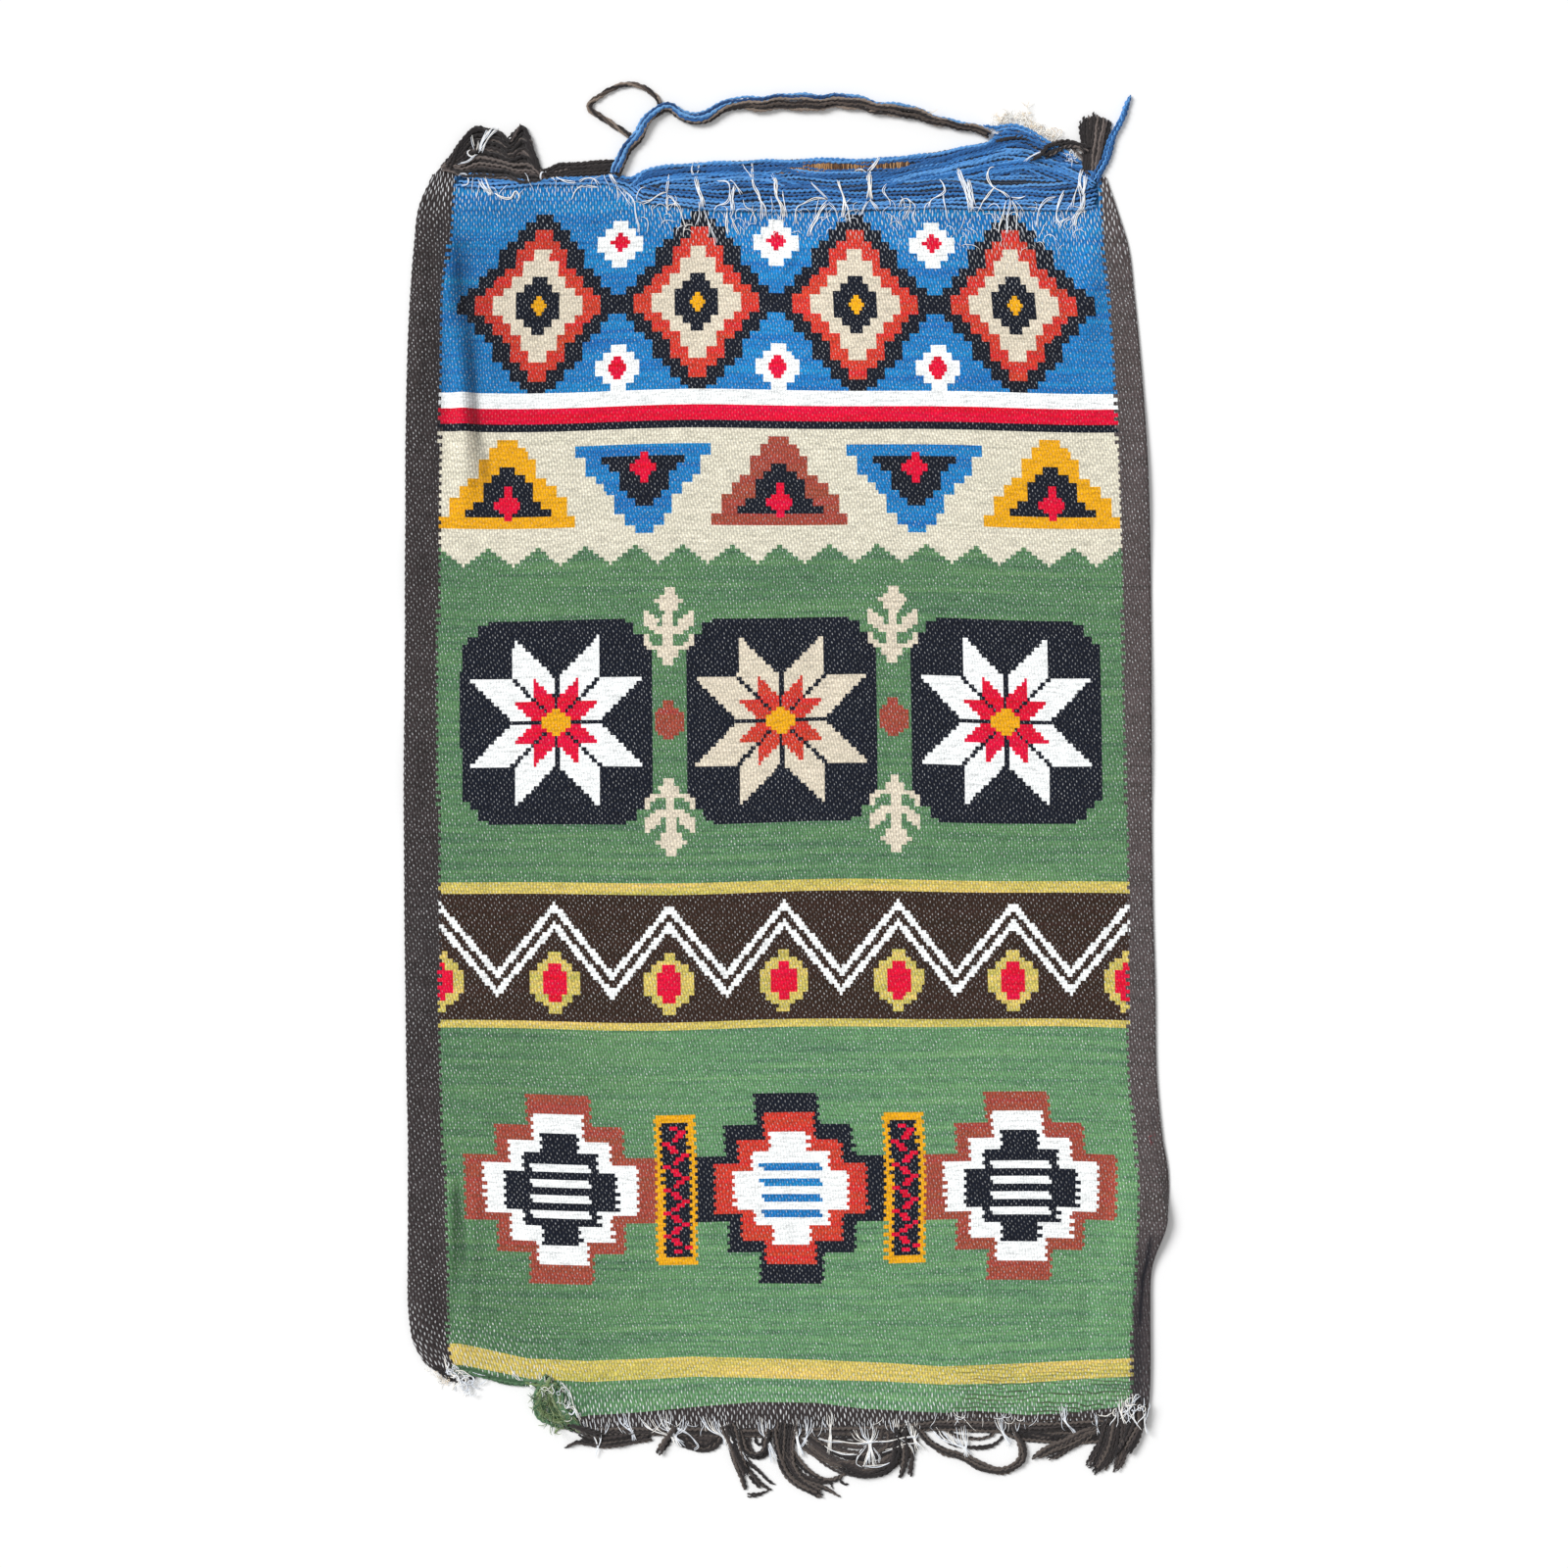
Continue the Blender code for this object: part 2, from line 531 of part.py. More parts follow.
def build():
    for old in list(bpy.data.objects):
        bpy.data.objects.remove(old)
    parts = bpy.data.collections.new("tapestry")
    cutters = bpy.data.collections.new("cutters")
    for made in (parts, cutters):
        bpy.context.scene.collection.children.link(made)

    green = material("woven_wool", (0.08, 0.23, 0.11))
    brown = material("brown_wool", (0.035, 0.02, 0.015))
    blue = material("blue_wool", (0.03, 0.16, 0.42))
    olive = material("green_wool", (0.09, 0.2, 0.05))

    grid = cloth_grid()
    sheet_object("cloth", grid, CLOTH_THICKNESS, parts, green)
    top, bottom = grid[0], grid[-1]

    fringe("top_left_fringe", edge_strip(edge_between(top, -270, -145.6), 1), TOP_LEFT_STRANDS, parts, cutters, brown)
    fringe("top_fringe", edge_strip(edge_between(top, -129, 257), 1), TOP_STRANDS, parts, cutters, blue)
    tuft_root = [Vector((x, y, 0)) for x, y in TUFT_ROOT]
    fringe("top_right_tuft", edge_strip(tuft_root, 1), TOP_RIGHT_STRANDS, parts, cutters, brown)
    fringe("bottom_fringe", edge_strip(edge_between(bottom, -166, 280), -1), BOTTOM_STRANDS, parts, cutters, brown)
    fringe("green_fray", edge_strip(edge_between(bottom, -199, -171), -1), GREEN_STRANDS, parts, cutters, olive)

    route = cord_route(YARN_ROUTE, YARN_DIAMETER, YARN_STEP)
    tube("loose_yarn", route, [YARN_DIAMETER] * len(route), 3, 0.0, parts, blue)
    route = cord_route(LOOP_ROUTE, LOOP_DIAMETER, LOOP_STEP)
    tube("loose_loop", route, [LOOP_DIAMETER] * len(route), 2, 0.0, parts, brown)


build()
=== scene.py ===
"""The looks of a small hand-woven tapestry that lies flat, face up, with both of its ends coming undone.

The tables are in millimetres, measured from the middle of the piece, with the cloth's top towards +Y and the
surface that it lies on at z = 0. MM turns them into metres where a mesh, a cord or a camera is made.
"""

import math
from collections import namedtuple

import bpy
import numpy as np
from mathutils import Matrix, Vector


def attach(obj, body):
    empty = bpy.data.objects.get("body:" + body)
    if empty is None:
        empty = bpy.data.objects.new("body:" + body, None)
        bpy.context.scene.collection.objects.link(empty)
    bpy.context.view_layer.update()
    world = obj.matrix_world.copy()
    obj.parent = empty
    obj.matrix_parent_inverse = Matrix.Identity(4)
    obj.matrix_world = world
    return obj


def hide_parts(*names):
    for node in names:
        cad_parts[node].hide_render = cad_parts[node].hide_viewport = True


MM = 0.001

# The cloth, as in the solids' source
CLOTH_THICKNESS = 2.0
TOP_NEAR, BOTTOM_NEAR = 505.0, -465.0  # where the end tables' x is read
BEND_RADIUS = 1.7  # of the sheet's middle surface where the lower right border folds under
TURNED_LENGTH = 10.3  # from where the bend begins to the raw edge
TURNED_SHARE = 0.7  # of the border's shown width, which the turned length is at most
RISE_WIDTH = 26.0  # of the field beside the border that a raised border lifts
FOLD_LIFT = 2.6  # of the folded border, above which its grooves are held shallow
FOLD_PUFF = 0.4  # by which the border stands higher there
SELVEDGE_STEP = 0.35  # by which the rows at the left side stand out and back by turns

# The weave
CELL_COUNTS = {"left": 13, "field": 260, "flat": 10, "bend": 5, "flap": 2}  # across each zone of the cloth
ROW_PITCH = 3.15
FIELD_HALF = 281.0  # half the flat width between the side borders
BORDER_WIDTH = 28.0
TOP_ROW, BOTTOM_ROW = 520.0, -533.0
FLECK_WIDTH, FLECK_HEIGHT = 4.82, 4.6  # between the warp flecks in a row, and in a column of the firm weave
SLACK_HEIGHT = 8.2  # between those in a column where the weave has slackened
FLECK_LEAN = 0.16
UV_SPAN = 1100.0  # of the flat cloth that the unit square of its UV map holds
NOTCH_SIDE = -166.0  # x of the torn notch, left of which the weave reaches the cloth's end
BOTTOM_SLACK = 62.0  # from the bottom end up to where the weave is firm
TOP_SLACK = ((60, 48), (160, 90))  # from the top end down to there, by x
FOLD_SHADE = 0.45

# The yarns
YARN_STEP = 1.3
YARN_WIDTH = 2.4
LOOSE_RADIUS = 1.15
CRIMP_PERIOD = 4.32
PLY_PITCH = 6.5
WARP_WIDTH = 0.72
EDGE_REACH = 6.5  # how near to a raw end a yarn starts that comes out of the weave
SWAG_TOP, ON_SWAG = -518.0, 3.2  # below this y, threads lie on the swags at this height
LEAST_HEIGHT = 0.05  # of any part of a yarn above what the cloth lies on

# The view
CAMERA_HEIGHT = 3200.0
FRAME_WIDTH = 1280.0
FRAME_CENTRE = (-2.0, 10.4)
LIGHT_COURSE = (0.85, -0.5, -1.0)
FLOOR_HALF, FLOOR_DEPTH = 6000.0, -0.2


def paired(*numbers):
    """The places that numbers give as x and y by turns."""
    return tuple(zip(numbers[::2], numbers[1::2]))


def routed(kind, rows):
    """Rows of a kind whose last field is a route, given as x and y by turns after the other fields."""
    others = len(kind._fields) - 1
    return tuple(kind(*row[:others], paired(*row[others:])) for row in rows)


Edge = namedtuple("Edge", "y left left_seam right_seam right turn_deg")
EDGES = [Edge(*row) for row in (
    (508, -289, -271, 255, 260, 0), (482, -300, -273, 256, 269, 0), (450, -304, -275, 258, 279, 0),
    (410, -307, -279, 263, 284, 0), (370, -309, -280, 267, 288, 0), (290, -311, -283, 270, 294, 0),
    (202, -311, -284, 273, 297, 0), (42, -312, -284, 277, 298, 0), (-80, -312, -284, 278, 299, 0),
    (-150, -311, -283, 279, 301, 0), (-238, -310, -281, 281, 303, 0), (-278, -309, -280, 285, 307, 0),
    (-310, -309, -279, 286, 311.4, 35), (-350, -309, -278, 285, 309, 100),
    (-382, -309, -277, 284, 298, 170), (-422, -308, -277, 282, 296, 180), (-446, -304, -275, 282, 296, 180),
    (-470, -291, -271, 282, 296, 180), (-494, -284, -270, 282, 295, 180), (-520, -280, -270, 281, 290, 180),
)]
TOP_END = paired(
    -289, 508, -280, 517, -270, 511, -258, 509, -204, 503, -188, 505, -140, 507, -128, 500, -82, 498,
    -34, 498, 14, 498, 62, 499, 102, 502, 146, 503, 190, 503, 238, 505, 260, 506
)
BOTTOM_END = paired(
    -299, -458, -291, -466, -283, -473, -277, -478, -270, -471, -250, -474, -230, -479, -209, -482,
    -196, -484, -186, -494, -178, -510, -168, -519, -82, -520, -2, -521, 78, -518, 146, -514, 192, -517,
    218, -517, 266, -510, 296, -513
)

# Soft ridges and puckers. along and across are half lengths, and heading_deg is turned from +Y towards +X.
Ridge = namedtuple("Ridge", "x y along across height heading_deg")
RIDGES = [Ridge(*row) for row in (
    (-252, 345, 75, 10, 6.5, -4), (-280, 400, 60, 10, 5, 3), (-264, 285, 45, 9, 4.5, 0),
    (-306, 190, 40, 11, 3.5, 0), (-306, 20, 45, 12, 4.5, 0), (-300, -150, 60, 12, 3.5, 0),
    (-262, -375, 70, 10, 4.5, 2), (-296, -420, 45, 12, 4.5, -6), (246, 415, 50, 12, 5.5, 6),
    (292, 250, 60, 11, 3.5, 0), (290, 60, 60, 12, 3, 0), (262, -420, 70, 12, 3, 3),
    (-235, 486, 12, 30, 3.5, 0), (-60, 482, 14, 60, 4, 0), (120, 484, 14, 50, 4.5, -4),
    (215, 488, 14, 30, 4.5, 0), (-112, -506, 12, 42, 4, 0), (12, -503, 13, 48, 4.5, 3),
    (110, -500, 12, 36, 4, -4), (222, -496, 14, 36, 4.5, 4),
)]
CREASES = [Ridge(*row) for row in (
    (-268, 345, 62, 6, 4.8, -6), (-255, 345, 78, 5, -3.4, -6), (-276, 425, 40, 8, 3.8, 0),
    (-262, 425, 40, 6, -3.2, -4), (-299, 380, 80, 6, 3.4, 2), (-284, 370, 80, 4.5, -2.6, 1),
    (-275, -358, 45, 5.5, 3.6, 0), (-264, -358, 50, 5, -3.2, 0), (-249.5, 350, 70, 5.5, -6, -3),
    (-265, 355, 75, 6, 3.6, -2), (-246, 284, 34, 4.5, -3, 4), (-241, 470, 7, 12, -2.5, 10),
    (-264, -350, 55, 5, -3, 5), (-276, -350, 50, 5, 1.6, 2), (292.5, -392, 34, 2.4, -2.6, -8),
    (0, 437, 20, 5, 2.6, 28), (24, 452, 16, 6, 1.6, -20), (-120, -300, 60, 16, 1.6, 8),
    (-96, -345, 50, 12, 1.4, -10), (-190, -240, 60, 18, 1.2, 4), (150, 330, 60, 16, 1.4, -12),
    (60, 130, 70, 18, 1.2, 15), (-150, 40, 80, 18, 1.2, -6), (180, -120, 80, 18, 1.2, 9),
    (-205, 452, 8, 22, 1.5, 6), (208, 446, 8, 26, 1.8, -8),
)]
RIDGE_FOOT = 0.5  # what a ridge is lowered by, so that the cloth between ridges lies flat
GROOVE_DEPTH = 1.4  # at most, of a groove in the folded border

# Creases where painted shade darkens the cloth: half width, strength, and the route from the top down
ShadedCrease = namedtuple("ShadedCrease", "half_width strength route")
SHADED_CREASES = routed(ShadedCrease, (
    (7, 0.34, -264, 462, -264, 425, -260, 385),
    (4.6, 0.42, -260, 425, -256.5, 352, -254, 312, -247, 274, -244, 236),
    (3.6, 0.3, -282, 478, -282, 380, -284, 262), (3.6, 0.4, -270, -312, -266, -350, -262, -395),
    (1.9, 0.95, 297, -352, 296, -364, 294, -379, 290.5, -394, 288.5, -420, 288, -440),
    (4.5, 0.5, 287, -405, 286, -470, 286, -512), (2.4, 0.35, 297, -248, 300, -262, 299, -276),
))
CREASE_SHADE_FADE = 14.0  # the length over which the painted shade fades at both ends of a crease

# Broad patches of painted shade, where the cloth is a little darker, and, with a negative depth, of painted
# light, where it is paler: middle, reach and depth
PaintedPatch = namedtuple("PaintedPatch", "x y reach_x reach_y depth")
LIGHT_AND_SHADE_PATCHES = [PaintedPatch(*row) for row in (
    (-264, 400, 52, 110, 0.2), (-252, -430, 46, 70, 0.15), (304, -320, 16, 34, 0.14),
    (-160, 470, 60, 26, 0.08), (10, 400, 110, 90, -0.16),
)]

# Loosened wefts: their width at the root and the tip, and the route of the strand's middle, seen from above
Strand = namedtuple("Strand", "root tip route")
CURLS = routed(Strand, (
    (5, 2.6, -273, 519, -267, 532, -259, 542, -252, 546, -246, 544.5),
    (5, 2.6, -226, 535, -220, 543, -216, 549.5), (4.4, 2.4, -207, 528, -210, 538, -214.5, 547),
))
TOP_STRANDS = routed(Strand, (
    (2.8, 3.4, -123, 502.6, -116, 511, -100, 514, -60, 517, -20, 518.6, 20, 519, 60, 518.8, 95, 521.5,
     125, 525.6, 150, 530.2, 163, 533.4, 173, 540, 188, 544.5, 206, 541),
    (3.2, 3.6, -119, 502.2, -111, 508, -80, 511.4, -40, 513, -6, 512.4, 16, 507.2, 40, 506.4, 62, 507.6,
     82, 509, 104, 514, 128, 521, 152, 527.4, 172, 535, 188, 538.8, 203, 535),
    (3.2, 3.2, -113, 501.8, -104, 505, -80, 507.2, -40, 508.8, -12, 507.4, 5, 500.8),
    (2.4, 2.4, -105, 501, -96, 503.8, -66, 504, -38, 504.8, -18, 503.8, -8, 500),
    (3.2, 3.6, 65, 502, 76, 504.8, 98, 508.6, 124, 516, 148, 522.4, 172, 529.4, 188, 532.8, 200, 530),
    (3.2, 3.4, 93, 504, 106, 507.4, 128, 511.6, 150, 517, 172, 523.6, 190, 527, 200, 525),
    (3.2, 3.2, 113, 505, 126, 507.8, 150, 511.6, 175, 517, 200, 519.4, 226, 516.8, 243, 513.4, 250, 508),
    (3, 3, 153, 506, 168, 509.6, 196, 513.8, 220, 511.6, 232, 507.4),
    (6.6, 2, 254.5, 508.8, 259.5, 520, 266.5, 538, 274, 555, 281.5, 572.6),
))
TOP_RIGHT_STRANDS = routed(Strand, (
    (3.2, 4.2, 243, 518, 242, 532, 241, 546, 242, 557),
    (3.2, 4.2, 245.5, 517.5, 245.6, 532, 246, 546, 247, 559),
    (3.2, 4.2, 248, 517, 249.2, 532, 251, 546, 252, 559),
    (3.2, 4.2, 249.6, 517, 252.4, 532, 255.6, 546, 257.2, 557.5),
    (3.2, 4, 250.6, 517, 255.2, 532, 260, 546, 262.2, 554),
    (3.4, 3, 243, 519.6, 234, 529, 222, 534.5, 211, 531.5, 207, 525),
))
ARM_STRANDS = routed(Strand, (
    (6.5, 4, 247, 528, 238, 531, 226, 529.5, 216, 525, 208, 521),
    (3.4, 3, 171, 535.6, 186, 537.6, 200, 536.4),
))
TUFT_ARM = routed(Strand, ((5.5, 2.6, 244, 526, 238, 532, 228, 534, 214, 530.5, 208, 524, 198.6, 519),))
HUMP_TIP = routed(Strand, ((4.4, 2.4, 176, 544.5, 165, 547, 154.5, 550.5),))
BOTTOM_STRANDS = routed(Strand, (
    (6.6, 2, -117, -524.2, -130, -527.5, -148, -529.5, -162, -528, -171, -527, -181, -532.5),
    (4.6, 3.2, -160, -520.6, -170, -518, -178, -515.4, -184.5, -515),
    (4.4, 2.6, -98, -522, -103, -530, -108, -537.5), (3.4, 2, -91.5, -522, -96.5, -530, -100, -536.5),
    (4.6, 4.6, -84, -522, -76, -530.5, -67, -533.5, -58, -530, -53, -522),
    (3, 3, -77, -522, -67, -527.5, -59, -522),
    (4.6, 3, -48, -522, -46, -532, -42, -544, -36, -556, -33, -571),
    (4.6, 2.6, -43, -522, -40.5, -533, -36.5, -544, -28, -554, -20, -561, -12, -566),
    (4, 2, -38, -522, -35.5, -533, -31, -543, -22, -552, -14, -559, -7, -562),
    (2.6, 2.6, -32, -570.5, -22, -569.5, -13, -565.5),
    (4.4, 4.4, -30, -522, -30, -531, -26, -538, -19, -538.5, -14, -533, -13.5, -522),
    (2.6, 2.6, -25, -522, -23.5, -527.8, -20.3, -527.8, -18.6, -522),
    (5, 4.4, -8.5, -522, -7, -536, -2, -548, 8, -559.5, 20, -567, 31, -571),
    (5, 2.4, -2.5, -522, -1, -535, 4, -546, 13, -556, 24, -562, 35, -566, 44, -572),
    (4.6, 4, 3.5, -522, 5, -533, 10.5, -543, 19.5, -552.5, 31, -557.5, 43, -556, 51, -549),
    (4.4, 4.4, 9, -522, 13, -530.5, 22, -537.5, 34, -542, 46, -545, 54, -548),
    (3, 2.2, 33, -557, 37, -564, 35, -570), (2.6, 2, 43, -556, 46, -560.5, 52, -561),
    (7.6, 6, 44, -545, 54, -551, 67, -553.5, 80, -550, 88, -541, 90, -531, 89.5, -521),
    (3.6, 3.6, 40, -543, 54, -543.6, 68, -545, 80, -541, 86, -534),
    (4.4, 4.4, 20, -523, 31, -529.5, 46, -535.5, 60, -538.2, 74, -536.6, 82, -530, 83, -520.5),
    (3.6, 3.6, 29, -522.3, 41, -527, 55, -531, 67, -530.5, 75, -526, 77, -520),
    (5, 4.2, 97, -519.5, 97.5, -534, 95.5, -547, 92, -557.5),
    (4.6, 3.6, 103.5, -519, 103.5, -534, 102.5, -545, 100.5, -555),
    (5.2, 4.2, 110, -518.5, 118, -528.5, 132, -536, 147, -541, 159, -548, 172, -551, 184, -548.5,
     192.5, -542, 193, -531, 187, -518.5),
    (3, 3, 121, -517, 135, -527.5, 152, -532, 167, -529.5, 176, -523.5, 180, -517.5),
    (2.8, 2.8, 130, -516.5, 142, -522.6, 155, -524.6, 166, -521.8, 170, -517),
    (6.4, 3, 247, -517.4, 236, -521, 222, -527.5, 210, -534, 199, -541),
    (5.2, 3, 252.5, -515.6, 243, -525, 231, -532.5, 220, -538.5, 211, -541),
    (3.4, 3, 202, -519.6, 212, -523.4, 222, -519),
    (5.4, 3.6, 259.5, -513, 256, -526, 250.5, -538, 245, -546.5),
    (5.4, 4, 265.5, -512.5, 262.5, -528, 257, -541, 251, -553.5),
    (5, 4, 271.5, -513, 269.5, -528, 265, -540, 260, -550),
    (5, 4, 277.5, -513.5, 276.5, -528, 273, -541, 267.5, -552),
))
GREEN_STRANDS = routed(Strand, (
    (3, 3, -196, -487, -202, -492, -204.5, -500, -201, -508, -192, -511, -183, -507),
    (2.8, 2.8, -190, -493, -196, -496, -197.5, -501, -193, -505, -186, -502),
    (3, 1.8, -179, -514, -186, -516.5, -190, -521.5),
))
EDGE_STRANDS = routed(Strand, (
    (3.6, 3, -266, -466.6, -252, -469.6, -236, -474, -222, -477.4, -208, -480),
    (3.4, 2.6, -262, -470, -248, -473.4, -234, -477, -216, -480.6),
))

# The cores of the thickest bunches of loosened wefts
CORES = routed(Strand, (
    (4.7, 4.6, -283, -469, -275, -474, -267, -476.5, -261, -475.5),
    (15, 11, -46, -519, -42, -531, -37, -544, -33.5, -554), (7, 4.5, -29.5, -554, -22, -562, -16.5, -567),
    (7, 6.5, -37, -522, -34, -533, -26, -537.5, -19, -534, -16, -522),
    (19, 9, 1, -518, -1, -532, 0.5, -545, 9, -557, 20, -565, 30, -570.5),
    (5, 5, 6, -545, 14, -554.5, 24, -558.8, 36, -558, 46, -555),
    (8, 6, -95, -519, -100, -529, -104.5, -537), (7, 5, 94, -528, 95, -543, 93, -557),
    (6, 8, 126, -532.5, 145, -539, 158, -544.5, 173, -549, 185, -546.5, 192, -540, 192.3, -531,
     188.5, -521.5),
    (10, 6, 246, -519, 232, -526, 215, -534, 202, -541.5),
    (9, 5, 262, -515, 259, -529, 253, -543, 246, -547), (10, 7, 268, -515, 264, -530, 259, -542, 252, -553),
    (11, 8, 276, -515, 275, -529, 272.5, -541, 268, -551),
))
CORNER = routed(Strand, (
    (11, 8, 289.5, -494, 289, -510, 283, -525, 275.5, -538),
    (7, 5, 283, -498, 281, -512, 275, -526, 268, -538),
    (7, 5, -158, -518.5, -168, -515.5, -176, -513, -184, -514.5),
))
GREEN_CORES = routed(Strand, (
    (9, 8, -197, -479, -203, -489, -201, -501, -192, -509, -182, -513),
    (9, 6, -184, -486, -183, -496, -179, -505, -172, -513),
    (5, 4, -190, -494, -193, -501, -187, -506, -180, -503), (6, 5, -206, -478, -194, -480, -182, -481),
    (11, 8, -189, -481, -190, -491, -186, -501, -177, -510),
))

# The free yarns: the long bundle dips and rises, and the loop leaves it and comes back to it.
BUNDLE_DIAMETER = 10.0
BUNDLE_ROUTE = paired(
    -137, 506.7, -130, 527, -118.5, 545, -108, 557.5, -96, 562, -84, 556.5, -73, 553.5, -56, 559, -42, 565,
    -18, 566, 2, 566.5, 39, 567.5, 68, 564.5, 102, 558, 132, 550, 148, 546, 162, 542.6
)
LOOP_DIAMETER = 3.6
LOOP_ROUTE = paired(
    -103.1, 565.9, -108, 573, -117, 579.2, -126, 581.6, -134.5, 581, -144.5, 577, -154.5, 570.5, -161, 565,
    -158.5, 559.5, -151, 554.8, -140, 547.6, -127.8, 539.6
)

# Where the weave still holds: the loose wefts lie between these lines and the cloth's ends.
TOP_WEAVE = paired(
    -272, 498, -240, 494, -214, 498, -205, 499, -150, 500, -130, 494, -118, 484, -60, 478, 0, 477, 60, 478,
    120, 480, 180, 478, 240, 478, 262, 484
)
BOTTOM_WEAVE = paired(-170, -514, -80, -515, 0, -516, 80, -513, 123, -508, 200, -511, 284, -506)

# The outlines that heaps of loosened wefts fill, and slits in them: the middle, half length and half height
BLUE_TOP = paired(
    -272, 511, -258, 509, -204, 503.5, -188, 506, -140, 508, -127, 505, -116, 511.5, -100, 515, -60, 518.5,
    -20, 520, 20, 520.5, 60, 520.3, 95, 523, 125, 527, 150, 531.5, 164, 534.5, 180, 539, 196, 539, 210, 533,
    226, 526, 240, 520, 250, 514, 256, 508
)
SLITS = (
    (-10, 511, 14, 0.9), (38, 514.2, 24, 2.6), (83, 515.8, 16, 1.7), (146, 513, 7, 1.4),
    (178, 500.5, 17, 2.8), (60, 496, 10, 0.6), (120, 494, 12, 0.6), (-40, 492, 12, 0.6),
)
HUMP_LOW = paired(168, 535, 180, 536, 197, 535, 215, 529, 230, 521, 242, 516)
HUMP_HIGH = paired(
    168, 546.5, 174, 548.5, 186, 549.5, 197, 546, 207, 539.5, 215, 534.5, 226, 530, 236, 523, 242, 518
)
HUMP_SLITS = ((186, 537, 12, 1.7),)
OCHRE_PATCHES = ((-8, 16, 508.5, 513.5), (14, 62, 510, 519), (62, 101, 511.5, 519.5))
MASS_LOW = paired(-283, 511, -268, 507, -236, 503.5, -204, 500.5, -196, 501)
MASS_TOP = paired(
    -283, 513, -274, 523, -267.6, 530.4, -258, 543, -250.8, 547.2, -243.6, 545.5, -234, 544, -226, 534.4,
    -221.2, 541.6, -215.6, 549.6, -212.4, 546.4, -207.6, 530.4, -202.8, 516.8, -196, 504
)
STRIP_LOW = paired(-205, 503, -184, 504, -175, 506.5, -150, 508, -138, 509)
STRIP_HIGH = paired(-205, 511, -198, 513, -192, 514, -187, 518, -169, 518, -157, 519.7, -138, 520.5)
BAND_LOW = paired(
    -170, -520, -100, -522, -20, -523, 60, -522, 120, -517, 150, -519, 174, -519.5, 190, -526.5, 216, -528,
    236, -529, 256, -527.5, 270, -523, 286, -513
)
SWAGS = (
    (paired(-170, -524, -160.6, -530.5, -147, -530.8, -131, -528, -120, -525.5, -106, -521),
     paired(-170, -517, -106, -518)),
    (paired(-94, -520, -91, -528.5, -83, -532, -73, -535, -63, -535, -56, -532, -51, -524),
     paired(-94, -518, -51, -518)),
    (paired(14, -531, 20, -538, 30, -546, 40, -552, 51, -555.6, 62, -556, 74, -554, 85, -549.8, 96, -543,
            106, -535, 110, -524),
     paired(14, -519, 110, -516)),
)
SWAG_SLITS = (
    (46, -526.4, 22, 0.8), (92, -525.6, 18, 0.7), (62, -533.5, 26, 0.8), (36, -541.5, 9, 0.7),
    (68, -542, 22, 0.7),
)

# How high the loosened wefts are heaped between two lines
HEAPS = (
    (MASS_LOW, MASS_TOP, 4.4),
    (TOP_WEAVE, BLUE_TOP, 2.4),
    (BAND_LOW, BOTTOM_WEAVE, 2.0),
    (paired(264, -521, 297, -521), paired(264, -489, 297, -486), 6.4),
    (paired(-209, -508, -170, -518), paired(-209, -477, -170, -496), 3.0),
)

# Stripes near the bottom end, and the heights of the same rows in the middle of the cloth
BOW_END = -400.0
STRIPE_ROWS = (-460.0, -474.0, -498.0)
MUSTARD_TOP = paired(
    -273, -446.5, -218, -459, -170, -461, -82, -457.5, -34, -458.5, 22, -460, 78, -462.5, 123, -465.5,
    190, -463, 282, -458
)
MUSTARD_BOTTOM = paired(
    -273, -461, -218, -473, -170, -476, -82, -472, -34, -473, 22, -474.5, 78, -476, 123, -478.5, 190, -477,
    282, -471
)
GREEN_BOTTOM = paired(
    -201, -511, -169, -505.5, -130, -503, -81, -498.5, -32, -494.5, 17, -495, 58, -500, 126, -503,
    150, -501.5, 192, -505, 238, -502, 282, -497
)

